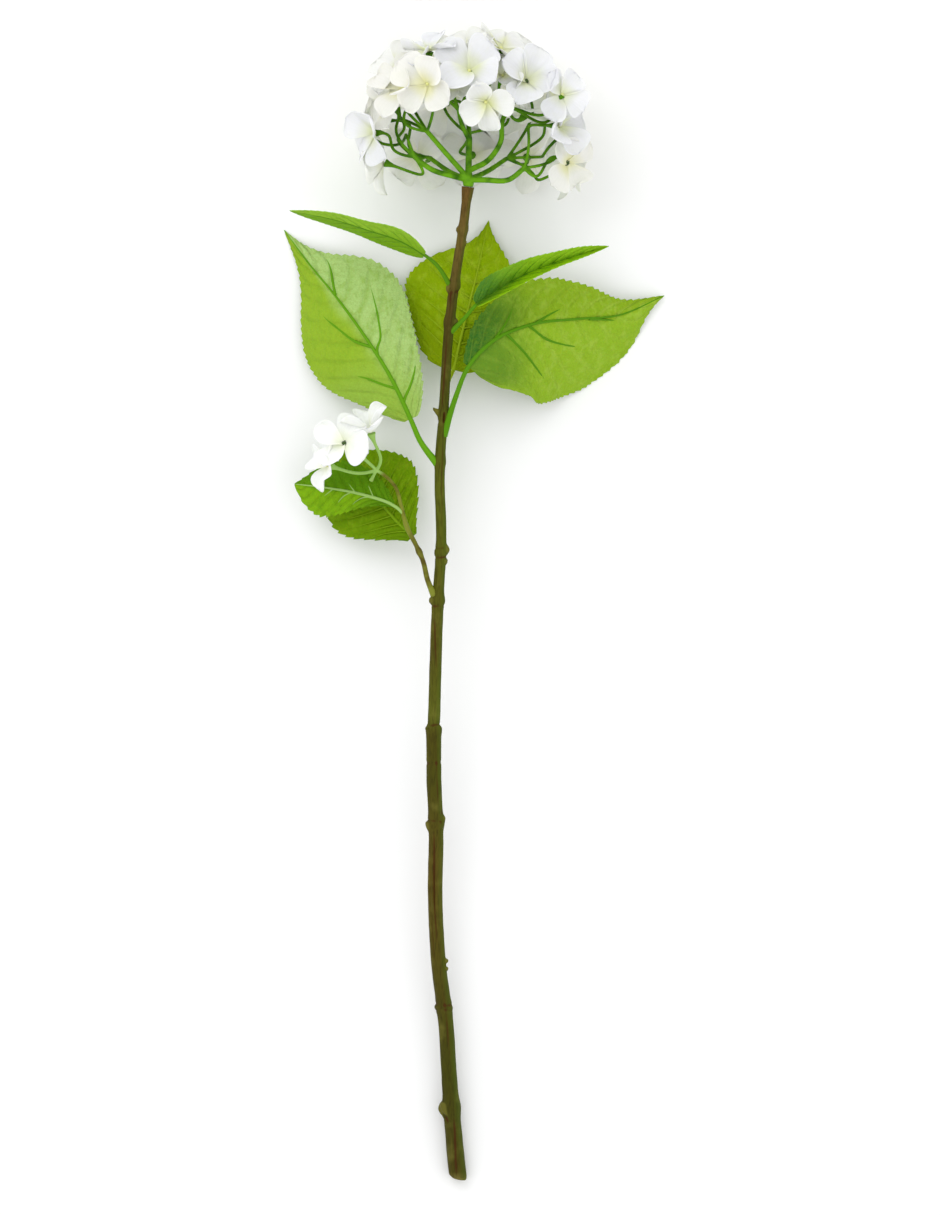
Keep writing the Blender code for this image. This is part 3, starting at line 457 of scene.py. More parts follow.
# moulded side veins of the leaves where they stand out, each as places (t, s) on the blade
LEAF_VEINS = {
    "leaf_left_large": [
        [(0.075, -0.02), (0.088, -0.13), (0.123, -0.45), (0.165, -0.7), (0.243, -0.92)],
        [(0.3, -0.01), (0.313, -0.04), (0.348, -0.23), (0.405, -0.34), (0.511, -0.48), (0.56, -0.56)],
        [(0.62, -0.01), (0.673, -0.13), (0.764, -0.5), (0.814, -0.78)],
        [(0.34, 0.01), (0.405, 0.16), (0.475, 0.24), (0.56, 0.36), (0.652, 0.5)],
        [(0.14, 0.01), (0.193, 0.24), (0.243, 0.36), (0.299, 0.53)],
    ],
    "leaf_shoot_front": [
        [(0.24, 0.01), (0.3, 0.2), (0.35, 0.42), (0.38, 0.6)],
        [(0.42, 0.01), (0.48, 0.2), (0.52, 0.4), (0.54, 0.6)],
        [(0.6, 0.01), (0.65, 0.18), (0.7, 0.36)],
        [(0.2, -0.01), (0.26, -0.3), (0.32, -0.55)],
        [(0.38, -0.01), (0.46, -0.25), (0.53, -0.5)],
    ],
    "leaf_right_large": [
        [(0.165, 0.01), (0.236, 0.24), (0.285, 0.51), (0.306, 0.78)],
        [(0.365, 0.01), (0.426, 0.13), (0.511, 0.31)],
        [(0.33, -0.01), (0.398, -0.19), (0.489, -0.29), (0.616, -0.41)],
        [(0.22, -0.01), (0.264, -0.26), (0.299, -0.48), (0.363, -0.82)],
        [(0.62, -0.01), (0.687, -0.03), (0.75, -0.09)],
    ],
}
BLADE_STATIONS = 170
BLADE_COLUMNS = 48
BLADE_START = 0.004
BLADE_RUN = 0.992
BLADE_THICKNESS = 0.45
BLADE_FLOOR = 0.3
# where the regular veins leave the midrib, how they curve, and how far the moulded ones go
SIDE_VEINS = (0.08, 0.17, 0.27, 0.37, 0.47, 0.57, 0.67, 0.77)
VEIN_SWEEP = 0.2
VEIN_CURVE = 1.2
VEIN_HALF_WIDTH = 2.2
PRESSED_POINTS = 7
PRESSED_REACH = 0.84
VEIN_SPACING = 0.0495
SHORT_VEINS_END = 0.65
TOOTH_LENGTH = 4.9
TOOTH_DEPTH = 2.0
TOOTH_STRAY = 0.8
TOOTH_SHARPNESS = 12
# a leaf whose left half is narrower than this has weaker relief and smaller teeth
NARROW_LEAF = 12
NARROW_SHARE = 0.3
NARROW_TEETH = 0.45
CLOTH_WAVE = 0.5
MARGIN_RUFFLE = 1.1
QUILT_DEPTH = 0.55
NARROW_QUILT = 0.2
RIB_BED_DEPTH = 0.6
RIB_BED_WIDTH = 0.06
CORNER_ROUNDING = 0.05
ROUTE_STEPS = 60
ROD_STEPS = 70
VEIN_STEPS = 22
VEIN_TIP_RADIUS = 0.1
VEIN_LIFT = 0.1
VEIN_FLOOR = 0.5
VEIN_SINK = 0.45
SMALL_RIB = [(0, 1.9), (0.08, 1.4), (0.2, 1.1), (0.5, 0.75), (1, 0.25)]
# radius of side veins and of the midrib, by the first of these words that a leaf's name has
LEAF_RIBS = {
    "shoot": (0.34, [(0, 1.0), (0.1, 1.0), (0.3, 1.0), (0.55, 0.8), (1, 0.25)]),
    "large": (0.9, [(0, 2.5), (0.07, 1.9), (0.18, 1.5), (0.45, 1.05), (1, 0.3)]),
    "upper": (0.2, SMALL_RIB),
    "back": (0.34, SMALL_RIB),
}
UP = Vector((0, 0, 1))


def tapered(table):
    """Radii along a rod of ROD_STEPS points."""
    return [along(table, k / (ROD_STEPS - 1)) for k in range(ROD_STEPS)]


def rounded(table, place):
    """A table's value with its corners rounded off."""
    near = [along(table, min(max(place + CORNER_ROUNDING * k / 2, 0.0), 1.0)) for k in (-2, -1, 0, 1, 2)]
    fade = min(1.0, place / CORNER_ROUNDING, (1.0 - place) / CORNER_ROUNDING)
    return along(table, place) * (1 - max(fade, 0)) + sum(near) / 5 * max(fade, 0)


def blade_spot(route, t, s, leaf):
    """Point of a blade: t runs from foot to tip, s from -1 at the right margin to 1 at the left."""
    place = t * (len(route) - 1)
    i = min(int(place), len(route) - 2)
    centre = route[i].lerp(route[i + 1], place - i)
    before, after = route[max(i - 2, 0)], route[min(i + 3, len(route) - 1)]
    ahead = (after - before).normalized()
    outward = UP.cross(ahead).normalized() * (1 if s > 0 else -1)
    slope, bend, half_widths = leaf["left"] if s > 0 else leaf["right"]
    angle = math.radians(slope + bend * abs(s) / 2)
    reach = rounded(half_widths, t) / math.cos(math.radians(slope + bend / 2)) * abs(s)
    return centre + outward * reach * math.cos(angle) + UP * reach * math.sin(angle)


def vein_hollow(t, s, length):
    """How deep the cloth is pressed at a place between two side veins, from 0 to 1."""
    start = t - VEIN_SWEEP * abs(s) ** VEIN_CURVE
    nearest = min(abs(start - vein) for vein in SIDE_VEINS) * length
    return math.exp(-(nearest / VEIN_HALF_WIDTH) ** 2)


def flat_cloth(name, rows, columns):
    """A flat sheet two units wide with its unwrapping, and where its points start."""
    clear_selection()
    bpy.ops.mesh.primitive_grid_add(x_subdivisions=rows, y_subdivisions=columns, size=2)
    cloth = bpy.context.object
    uv = cloth.data.uv_layers.active or cloth.data.uv_layers.new(name=name)
    uv.name = name
    flat = [vertex.co.copy() for vertex in cloth.data.vertices]
    for loop in cloth.data.loops:
        spot = flat[loop.vertex_index]
        uv.data[loop.index].uv = ((spot.y + 1) / 2, (spot.x + 1) / 2)
    return cloth, flat


def apply_modifier(piece, name, kind, **settings):
    modifier = piece.modifiers.new(name, kind)
    for key, value in settings.items():
        setattr(modifier, key, value)
    bpy.ops.object.modifier_apply(modifier=modifier.name)


def leaf_cloth(leaf, seed):
    """The cloth of one leaf, as a grid shaped point by point because no modifier gives it."""
    route = soft_line(leaf["midrib"], ROUTE_STEPS)
    length = sum((b - a).length for a, b in zip(route, route[1:]))
    cloth, flat = flat_cloth("blade", BLADE_STATIONS, BLADE_COLUMNS)
    wave = ripple(seed)
    ruffle = ripple(seed + 50)
    narrow = max(row[1] for row in leaf["left"][2]) < NARROW_LEAF
    share = NARROW_SHARE if narrow else 1.0
    teeth = NARROW_TEETH if narrow else 1.0
    quilt = NARROW_QUILT if narrow else QUILT_DEPTH
    for vertex, spot in zip(cloth.data.vertices, flat):
        t = BLADE_START + BLADE_RUN * (spot.x + 1) / 2
        s = spot.y
        tooth = (t * length / TOOTH_LENGTH + TOOTH_STRAY * wave(t * 7, math.copysign(2, s))) % 1.0
        margin = abs(s) ** TOOTH_SHARPNESS * min(1.0, t * 8, (1 - t) * 9)
        tooth_cut = TOOTH_DEPTH * (1 - tooth) * margin * teeth
        here = blade_spot(route, t, s, leaf)
        inner = blade_spot(route, t, s * 0.97 if s else 0.01, leaf)
        if (here - inner).length > 1e-6:
            here -= (here - inner).normalized() * tooth_cut
        lift = CLOTH_WAVE * wave(t * 9, s * 5)
        lift += MARGIN_RUFFLE * ruffle(t * 14, s * 3) * abs(s) ** 2 * share
        lift -= quilt * vein_hollow(t, s, length) * (1 - abs(s) ** 4)
        lift -= RIB_BED_DEPTH * math.exp(-(abs(s) / RIB_BED_WIDTH) ** 2) * share
        here.z = max(here.z + lift * min(1.0, 6 * t, 6 * (1 - t)), BLADE_FLOOR)
        vertex.co = here * MM
    apply_modifier(cloth, "cloth thickness", "SOLIDIFY", thickness=BLADE_THICKNESS * MM, offset=0.0)
    return cloth, route


def pressed_vein(start, side):
    """Places of one of the regular side veins, from the midrib toward the margin."""
    shares = [k / (PRESSED_POINTS - 1) * PRESSED_REACH for k in range(PRESSED_POINTS)]
    return [(min(start + VEIN_SWEEP * share ** VEIN_CURVE, 0.97), side * max(share, 0.012))
            for share in shares]


def side_vein(route, leaf, places, radius):
    """Line and radii of a moulded vein through places on the blade."""
    spots = soft_line([blade_spot(route, t, s, leaf) for t, s in places], VEIN_STEPS)
    radii = []
    for k, spot in enumerate(spots):
        share = k / (VEIN_STEPS - 1)
        spot.z = max(spot.z + VEIN_LIFT, VEIN_FLOOR) - VEIN_SINK * share ** 3
        radii.append(radius * (1 - share) ** 0.7 + VEIN_TIP_RADIUS)
    return spots, radii


def join_pieces(pieces):
    clear_selection()
    for piece in pieces:
        piece.select_set(True)
    bpy.context.view_layer.objects.active = pieces[0]
    bpy.ops.object.join()
    return bpy.context.object


def darker(colour, share):
    return tuple(share * level for level in colour[:3]) + (1.0,)


def leaf_finish(name):
    # the fourth colour, foot, is the painted shade at the foot of the blade
    left, right, _, foot, pressed = [paint(*dye) for dye in LEAF_DYES_AND_PAINTED_LIGHT[name]]
    cloth = Finish("cloth_" + name, {"Roughness": 0.62, "Specular IOR Level": 0.06,
                                     "Subsurface Weight": 0.05, "Subsurface Scale": 0.002})
    coordinate = cloth.node("ShaderNodeUVMap", {"uv_map": "blade"})
    across = cloth.axis(coordinate, "X")
    up_leaf = cloth.axis(coordinate, "Y")
    place = cloth.place()
    clouds = cloth.noise(place, 24.0, 3.0)
    fine = cloth.noise(place, 420.0, 4.0)
    # The left and right colours carry painted light on two leaves: painted shadow of the florets on the right
    # half of leaf_shoot_front, and painted sheen on the right half of leaf_left_large.
    colour = cloth.blend(cloth.step(across + 0.25 * clouds, 0.56, 0.72), right, left)
    out = cloth.node("ShaderNodeMath", {"operation": "ABSOLUTE"}, {0: across * 2 - 1})
    on_left = cloth.step(across, 0.42, 0.62)
    # painted shade: toward its foot the blade is blended into the fourth colour, more on its left half, and
    # lines and creases fade there
    foot_shade_mask = 1 - cloth.step(up_leaf + 0.25 * clouds + 0.35 * out ** 2.0 * (1 - on_left), 0.24, 0.56)
    colour = cloth.blend(foot_shade_mask * (0.6 + 0.35 * on_left), colour, foot)
    start = (up_leaf - VEIN_SWEEP * out ** VEIN_CURVE + 0.05 * clouds) / VEIN_SPACING
    from_line = cloth.node("ShaderNodeMath", {"operation": "PINGPONG"}, {0: start, 1: 1.0})
    line = (1 - cloth.step(from_line, 0.0, 0.5)) * (1 - cloth.step(out, 0.75, 0.98))
    colour = cloth.blend(line * cloth.step(clouds, 0.35, 0.65) * (0.4 - 0.25 * foot_shade_mask), colour, pressed)
    net = cloth.node("ShaderNodeTexVoronoi", {"feature": "DISTANCE_TO_EDGE"},
                     {"Vector": place, "Scale": 560.0}, "Distance")
    mesh_lines = 1 - cloth.step(net, 0.02, 0.2)
    weave = cloth.noise(place, 1600.0, 2.0)
    creases = cloth.noise(cloth.stretched(place, (1.0, 0.6, 1.0)), 190.0, 5.0, 0.62)
    dark = darker(left, 0.7)
    colour = cloth.blend(mesh_lines * 0.16, colour, dark)
    colour = cloth.blend(cloth.step(fine, 0.45, 0.8) * 0.3, colour, dark)
    colour = cloth.blend(cloth.step(creases, 0.48, 0.66) * (0.4 - 0.3 * foot_shade_mask), colour, pressed)
    cloth.coat("Base Color", colour)
    cloth.bump(weave * 0.1 + net * 0.3 + clouds * 0.4 + fine * 0.3 + creases * 2.0 - line * 0.5, 0.7, 0.0018)
    return cloth.material


def vein_finish(name):
    colour = paint(*LEAF_DYES_AND_PAINTED_LIGHT[name][2])
    vein = Finish("veins_" + name, {"Roughness": 0.5, "Specular IOR Level": 0.1})
    tint = vein.noise(vein.place(), 160.0, 3.0)
    vein.coat("Base Color", vein.blend(tint * 0.45, colour, darker(colour, 0.75)))
    vein.bump(vein.noise(vein.place(), 900.0), 0.2, 0.0003)
    return vein.material


for seed, (leaf_name, leaf) in enumerate(LEAVES.items()):
    cloth_piece, leaf_route = leaf_cloth(leaf, seed * 7 + 3)
    paint_over(cloth_piece, leaf_finish(leaf_name))
    vein_radius, taper = LEAF_RIBS[next(word for word in LEAF_RIBS if word in leaf_name)]
    whole = soft_line([leaf["foot"]] + leaf["stalk"] + leaf["midrib"], ROD_STEPS)
    rib_radii = tapered(taper)
    for point, radius in zip(whole, rib_radii):
        point.z = max(point.z, radius + LEAST_HEIGHT)
    ribs = [moulded_rod("rib", whole, rib_radii, 12)]
    vein_places = LEAF_VEINS.get(leaf_name) or [
        pressed_vein(start, side) for start in SIDE_VEINS if start < SHORT_VEINS_END for side in (-1, 1)]
    for places in vein_places:
        ribs.append(moulded_rod("rib", *side_vein(leaf_route, leaf, places, vein_radius), 8))
    rib_material = vein_finish(leaf_name)
    for rib in ribs:
        paint_over(rib, rib_material)
    leaf_piece = join_pieces([cloth_piece] + ribs)
    leaf_piece.name = "printed_" + leaf_name
    finish_piece(leaf_piece, leaf_name, 50)

# ------ florets
# Each floret is four broad petals of white brushed cloth, heat-pressed so that every petal
# cups and wrinkles, with a small bead at the centre. A dye of pale yellow-green fades out
# from the centre. The floret sits in the green calyx at the end of its stalk.
PETAL_WIDTH = [(0, 0.07), (0.1, 0.13), (0.25, 0.27), (0.4, 0.41), (0.55, 0.52), (0.68, 0.57), (0.8, 0.55),
               (0.89, 0.46), (0.95, 0.34), (0.985, 0.19), (1, 0.05)]
PETAL_TUCK = 0.1
PETAL_ROWS = 16
PETAL_COLUMNS = 14
PETAL_THICKNESS = 0.3
PETALS = 4
# radius, flatness and height of the bead, and of the green throat round it
BEAD = (1.2, 1.0, 0.9)
THROAT = (2.3, 0.45, 0.3)
FLORET_FLOOR = 0.25
# shape of a petal: rows closer toward its tip, wavy edge, crumples, pleats, crease, round end
ROW_BUNCHING = 1.5
EDGE_WAVE = 0.05
CRUMPLE = 0.8
PLEAT = 0.3
CREASE_DEPTH = 0.35
CREASE_WIDTH = 0.14
END_ROUNDING = 0.05
# least and most of each petal's pitch over the floret's cup, curl, hollow, length, breadth, twist
PETAL_SPREADS = [(-0.3, 0.36), (-0.85, 0.15), (0.5, 1.3), (0.96, 1.12), (0.92, 1.08), (-0.3, 0.3)]
LEAST_BEND = 0.02
# least and most cup of a floret, and of one that faces down
USUAL_CUPS = (0.22, 0.62)
DOWN_CUPS = (-0.12, 0.1)
# a floret faces down, or aside, where its axis rises less than this
FACES_DOWN = -0.25
FACES_ASIDE = 0.1
SEAT_SINK = 0.3
MOOD_SEED = 1000
HUB = Vector((-3.5, 271.6, 63.5))
SHOOT_FORK = Vector((-62.0, 89.4, 51.9))


def cad_points(node):
    """The points of a CAD piece in millimetres, and the corners of its triangles."""
    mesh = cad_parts[node].data
    places = np.zeros(len(mesh.vertices) * 3)
    mesh.vertices.foreach_get("co", places)
    places = places.reshape(-1, 3) / MM
    corners = [tuple(polygon.vertices) for polygon in mesh.polygons]
    return places, corners


def floret_seat(node, root):
    """Centre, axis, one petal's way and petal length of a floret, measured on its CAD piece."""
    places, corners = cad_points(node)
    merged, which = np.unique(np.round(places, 2), axis=0, return_inverse=True)
    which = which.ravel()
    meets = np.zeros(len(merged), int)
    for triangle in corners:
        for corner in triangle:
            meets[which[corner]] += 1
    poles = merged[np.argsort(meets)[-2:]]
    centre = Vector(poles.mean(axis=0))
    axis = Vector(poles[1] - poles[0]).normalized()
    if axis.dot(centre - root) < 0:
        axis.negate()
    side = axis.orthogonal().normalized()
    ahead = axis.cross(side)
    offsets = merged - np.array(centre)
    x = offsets @ np.array(side)
    y = offsets @ np.array(ahead)
    reach = np.hypot(x, y)
    tips = reach > 0.96 * reach.max()
    bearings = PETALS * np.arctan2(y[tips], x[tips])
    turn = math.atan2(np.sin(bearings).sum(), np.cos(bearings).sum()) / PETALS
    return centre, axis, side * math.cos(turn) + ahead * math.sin(turn), float(reach.max())


def petal_cloth(seat, axis, way, length, cup, seed):
    """One petal, shaped point by point from a grid; cup is how steeply it rises from the centre."""
    across = axis.cross(way)
    petal, flat = flat_cloth("petal", PETAL_ROWS, PETAL_COLUMNS)
    dice = random.Random(seed)
    wave = ripple(seed)
    pitch, curl, hollow, longer, broader, twist = [dice.uniform(*spread) for spread in PETAL_SPREADS]
    pitch += cup
    for vertex, spot in zip(petal.data.vertices, flat):
        u = 1 - (1 - (spot.x + 1) / 2) ** ROW_BUNCHING
        s = spot.y
        half = along(PETAL_WIDTH, u) * length * broader * (1 + EDGE_WAVE * wave(u * 3, s * 2))
        slope = pitch + curl * u
        bend = curl if abs(curl) > LEAST_BEND else LEAST_BEND
        out = length * longer * (math.sin(pitch + bend * u) - math.sin(pitch)) / bend
        lift = length * longer * (math.cos(pitch) - math.cos(pitch + bend * u)) / bend
        side = half * math.sin(s * hollow) / hollow
        rise = half * (1 - math.cos(s * hollow)) / hollow
        rise += (PETAL_TUCK + twist * u) * half * s
        rise += CRUMPLE * wave(u * 4, s * 3) * u + PLEAT * math.sin(s * 8 + seed) * u * u
        rise -= CREASE_DEPTH * math.exp(-(s / CREASE_WIDTH) ** 2) * u * (1 - u)
        out -= END_ROUNDING * length * u * s * s
        here = seat + way * (out - rise * math.sin(slope)) + across * side
        here += axis * (lift + rise * math.cos(slope))
        here.z = max(here.z, FLORET_FLOOR)
        vertex.co = here * MM
    return petal


def petal_finish(name, throat, tone):
    cloth = Finish(name, {"Roughness": 0.85, "Specular IOR Level": 0.06, "Subsurface Weight": 0.7,
                          "Subsurface Radius": (1.0, 1.0, 0.9), "Subsurface Scale": 0.0012})
    coordinate = cloth.node("ShaderNodeUVMap", {"uv_map": "petal"})
    outward = cloth.axis(coordinate, "Y")
    place = cloth.place()
    clouds = cloth.noise(place, 90.0, 3.0)
    weave = cloth.noise(place, 2200.0, 2.0)
    fade = 1 - cloth.step(outward + 0.25 * clouds, 0.12, 0.58)
    colour = cloth.blend(fade, tone, throat)
    veins = cloth.node("ShaderNodeTexWave", {"wave_type": "BANDS", "bands_direction": "X"},
                       {"Vector": coordinate, "Scale": 3.2, "Distortion": 2.2, "Detail": 2.0}, "Fac")
    colour = cloth.blend(cloth.step(veins, 0.55, 1.0) * 0.05, colour, paint(206, 210, 188))
    colour = cloth.blend(cloth.step(clouds, 0.45, 0.75) * 0.3, colour, paint(218, 222, 206))
    cloth.coat("Base Color", colour)
    cloth.bump(weave * 0.2 + veins * 0.25 + clouds * 0.9, 0.35, 0.0005)
    return cloth.material


def bead_finish(name, colour, dark):
    bead = Finish(name, {"Roughness": 0.4})
    grain = bead.noise(bead.place(), 1200.0, 2.0)
    bead.coat("Base Color", bead.blend(grain, colour, dark))
    bead.bump(grain, 0.3, 0.0003)
    return bead.material


petal_cloths = [
    petal_finish("petal_white", paint(218, 222, 168), paint(234, 235, 231)),
    petal_finish("petal_warm", paint(224, 222, 168), paint(235, 234, 227)),
    petal_finish("petal_cool", paint(214, 220, 176), paint(229, 230, 234)),
]
# painted light: the side shoot's florets get a paler, nearly white cloth that stands in for the strong light
# on them
side_painted_light_cloth = petal_finish("petal_bright", paint(238, 242, 214), paint(250, 251, 250))
# painted light: florets that face aside or down get a paler cloth that lifts the shade they lie in
back_painted_light_cloth = petal_finish("petal_back_painted_light", paint(240, 240, 204), paint(250, 249, 242))
pale_bead = bead_finish("bead_pale", paint(232, 232, 170), paint(206, 210, 120))
green_bead = bead_finish("bead_green", paint(60, 92, 10), paint(26, 48, 4))
# florets bent over on their stalks: lean added to the axis, how deep their petals cup, size
FLORET_POSES = {
    "floret_06": ((-0.03, 0.15, 0), 0.42, 1.12), "floret_07": ((0.1, -0.4, 0), 0.5, 1.0),
    "floret_08": ((-0.15, -0.1, 0), 0.5, 1.1), "floret_09": ((0, 0.2, 0), 0.62, 1.12),
    "floret_11": ((-0.1, 0.2, 0), 0.5, 1.1), "floret_12": ((0, -0.1, 0), 0.55, 1.1),
    "floret_14": ((0, -0.3, 0), 0.25, 1.0), "floret_13": ((0.1, -0.3, 0.4), 0.35, 1.1),
    "floret_18": ((-0.1, 0.6, -0.45), 0.15, 1.0), "side_floret_1": ((0, 0.2, 0), 0.85, 1.35),
    "side_floret_2": ((0, 0, 0), 0.4, 1.25), "side_floret_3": ((0, 0, 0), 0.5, 1.25),
}
USUAL_FLORET_SIZE = 1.08
GREEN_CENTRES = ("floret_09", "floret_14", "floret_12", "floret_16", "side_floret_2")

floret_seats = {}
floret_names = sorted(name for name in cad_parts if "floret" in name)
for number, floret_name in enumerate(floret_names):
    root = SHOOT_FORK if floret_name.startswith("side") else HUB
    seat, axis, way, length = floret_seat(floret_name, root)
    mood = random.Random(MOOD_SEED + number)
    cup = mood.uniform(*(USUAL_CUPS if axis.z > FACES_DOWN else DOWN_CUPS))
    size = USUAL_FLORET_SIZE
    if floret_name in FLORET_POSES:
        lean, cup, size = FLORET_POSES[floret_name]
        axis = (axis + Vector(lean)).normalized()
        way = (way - axis * way.dot(axis)).normalized()
    across = axis.cross(way)
    seat = seat - axis * SEAT_SINK * length * math.sin(max(cup, 0.0))
    length *= size
    floret_seats[floret_name] = (seat, axis, length)
    petals = []
    for k in range(PETALS):
        angle = k * math.tau / PETALS
        petals.append(petal_cloth(seat, axis, way * math.cos(angle) + across * math.sin(angle), length,
                                  cup, number * 10 + k))
    floret = join_pieces(petals)
    apply_modifier(floret, "cloth thickness", "SOLIDIFY", thickness=PETAL_THICKNESS * MM, offset=0.0)
    # painted light: the side shoot's florets get the paler cloth
    if floret_name.startswith("side"):
        paint_over(floret, side_painted_light_cloth)
    # painted light: florets facing aside or down get the paler cloth
    elif axis.z < FACES_ASIDE:
        paint_over(floret, back_painted_light_cloth)
    else:
        paint_over(floret, petal_cloths[number % len(petal_cloths)])
    green = floret_name in GREEN_CENTRES
    centre_parts = [(BEAD, green_bead), (THROAT, green_bead)] if green else [(BEAD, pale_bead)]
    for (radius, flatness, height), bead_material in centre_parts:
        clear_selection()
        bpy.ops.mesh.primitive_uv_sphere_add(segments=16, ring_count=10, radius=radius * MM,
                                             location=(seat + axis * height) * MM,
                                             rotation=axis.to_track_quat("Z", "Y").to_euler(),
                                             scale=(1, 1, flatness))
        bead = bpy.context.object
        bpy.ops.object.transform_apply(location=True, rotation=True, scale=True)
        paint_over(bead, bead_material)
        floret = join_pieces([floret, bead])
    floret.name = "pressed_" + floret_name
    finish_piece(floret, floret_name, 60)

# ------ stalks of the flower head
# One moulding in bright green plastic: rays fan out from the top of the stem and fork into
# thin curling stalks, and each stalk flares into the calyx under its floret.
# first radius, last radius and places from the hub of each ray
RAYS = {
    "trunk": (2.3, 1.9, [(0, 0, 0), (0.5, 15, 1), (1, 30, 1)]),
    "left": (2.0, 1.7, [(0, 3, 0), (-9, 5, 5), (-23, 9, 9), (-34, 17, 9)]),
    "left_inner": (1.9, 1.6, [(0, 4, 1), (-11, 16, 9), (-20, 26, 14), (-26, 33, 15)]),
    "right": (2.0, 1.7, [(0, 3, 1), (11, 2.5, 7), (26, 2.5, 10), (36, 10, 10)]),
    "right_inner": (2.0, 1.6, [(1, 9, 2), (13, 15, 10), (21, 27, 14), (22, 40, 15), (26, 48, 14)]),
    "front": (1.7, 1.4, [(1, 28, 1), (-4, 38, 10), (-6, 46, 20)]),
    "crown": (1.7, 1.4, [(1, 29, 1), (0, 45, -3), (-1, 58, -5)]),
    "back_left": (1.9, 1.5, [(0, 3, -1), (-12, 9, -14), (-24, 18, -24)]),
    "back_right": (1.9, 1.5, [(0, 3, -1), (12, 9, -14), (25, 18, -24)]),
    "back": (1.8, 1.4, [(0, 12, -1), (0, 22, -14), (0, 34, -26)]),
}
# the ray that each floret of the head grows from, in the order of their numbers
FLORET_RAYS = (
    "back back_left back_right back back front front left_inner right_inner right_inner left_inner right "
    "right_inner right left left_inner left front crown right_inner crown right_inner left back_right "
    "back_left back_right crown crown back back back_right left left_inner crown left back_right "
    "front crown right_inner right_inner right_inner left_inner"
).split()
# way in which the stalks of some florets set off, by the floret's number
STALK_LEADS = {
    14: (0.8, -1.0, 0.1), 15: (-1.0, 0.1, 0.1), 22: (-0.5, 1.0, 0.2), 12: (0.3, 1.0, 0.3),
    34: (-0.5, -1.0, -0.1), 23: (-0.4, 1.0, 0.3), 35: (0.7, -1.0, -0.2), 13: (1.0, 0.1, 0.1),
    16: (-0.8, 0.7, 0.3), 8: (0.2, 0.4, 1.0), 11: (-1.0, 0.1, 0.4), 7: (0.9, -0.4, 0.5),
}
STALK_POINTS = 26
STALK_RADIUS = 1.08
CALYX_LENGTH = 7.5
CALYX_RADIUS = 3.0
CALYX_FLARE = 1.6
STALK_CLEARANCE = 1.3
STALK_HANG = 0.45
STALK_SPREAD = 0.9
# ways to bend a stalk, tried in this order until one is clear: how straight it sets off, how
# long its bends are, how far it swings, and swings tried first where its floret faces aside
STALK_STRAIGHTS = (0.0, 0.4, 0.7, 1.0)
STALK_SLACKS = (0.9, 0.75, 0.6, 0.45, 0.3, 0.2)
STALK_SWINGS = (0.35, -0.35, 0.15, -0.15, 0.0, 0.6, -0.6)
WIDE_SWINGS = (0.5, -0.5)
CALYX_SINK = 0.4
CALYX_RUN = 3.0
END_SLACK = 0.8
RAY_STEPS = 24
HUB_GAP = 0.3
HUB_COLLAR = 3.5
HUB_LENGTH = 8
HUB_RADII = [3.3, 3.7, 2.6]
MOULD_VOXEL = 0.55


def stalk_line(start, lead, seat, axis, slack, swing):
    end = seat - axis * CALYX_SINK
    span = (end - start).length
    sideways = axis.cross(end - start)
    if sideways.length > 1e-6:
        sideways.normalize()
    first = start + Vector(lead).normalized() * span * slack
    second = end - axis * (span * slack * END_SLACK + CALYX_RUN) + sideways * span * swing
    points = []
    for k in range(STALK_POINTS):
        t = k / (STALK_POINTS - 1)
        points.append((1 - t) ** 3 * start + 3 * (1 - t) ** 2 * t * first
                      + 3 * (1 - t) * t * t * second + t ** 3 * end)
    return points


def stalk_radii(points):
    """Thin all along, swelling into the trumpet of the calyx."""
    radii = []
    for point in points:
        left = (points[-1] - point).length
        flare = max(0.0, 1.0 - left / CALYX_LENGTH)
        radii.append(STALK_RADIUS + (CALYX_RADIUS - STALK_RADIUS) * flare ** CALYX_FLARE)
    return radii


def free_stalk(start, way, lead, seat, axis, trees):
    """The first shape of a stalk that passes clear of the petals, if there is one."""
    outward = (seat - start).normalized()
    across = outward - way * outward.dot(way)
    hang = Vector((0, -STALK_HANG, 0))
    first_way = Vector(lead).normalized() if lead else (way + across * STALK_SPREAD + hang).normalized()
    swings = WIDE_SWINGS + STALK_SWINGS if axis.z < FACES_ASIDE else STALK_SWINGS
    for straight in STALK_STRAIGHTS:
        for slack in STALK_SLACKS:
            for swing in swings:
                points = stalk_line(start, first_way.lerp(outward, straight), seat, axis, slack, swing)
                checked = [p for p in points if (p - points[-1]).length > CALYX_LENGTH]
                if not any(tree.find_nearest(p, STALK_CLEARANCE)[0] for tree in trees for p in checked):
                    return points
    return None


def fused(name, rods, voxel):
    """Rods melted into one moulding with soft fillets."""
    moulding = join_pieces(rods)
    moulding.name = name
    apply_modifier(moulding, "melt", "REMESH", mode="VOXEL", voxel_size=voxel * MM)
    apply_modifier(moulding, "soften", "SMOOTH", factor=0.5, iterations=4)
    return moulding


def green_finish(name, light, dark, far=None):
    """Mottled plastic, with another pair of colours beyond the fork of the side shoot."""
    green = Finish(name, {"Specular IOR Level": 0.1})
    place = green.place()
    tint = green.noise(place, 120.0, 4.0)
    streaks = green.noise(place, 900.0, 3.0)
    colour = green.blend(green.step(tint, 0.38, 0.72), light, dark)
    if far:
        beyond = green.axis(place, "Y") - green.axis(place, "X")
        colour = green.blend(green.step(beyond, 0.143, 0.15), colour, green.blend(tint, *far))
    else:
        from_hub = green.node("ShaderNodeVectorMath", {"operation": "DISTANCE"},
                              {0: place, 1: HUB * MM}, "Value")
        colour = green.blend(green.step(from_hub, 0.03, 0.075) * 0.55, colour, dark)
    green.coat("Base Color", colour)
    green.coat("Roughness", 0.38 + 0.18 * streaks)
    green.bump(streaks, 0.25, 0.0003)
    return green.material


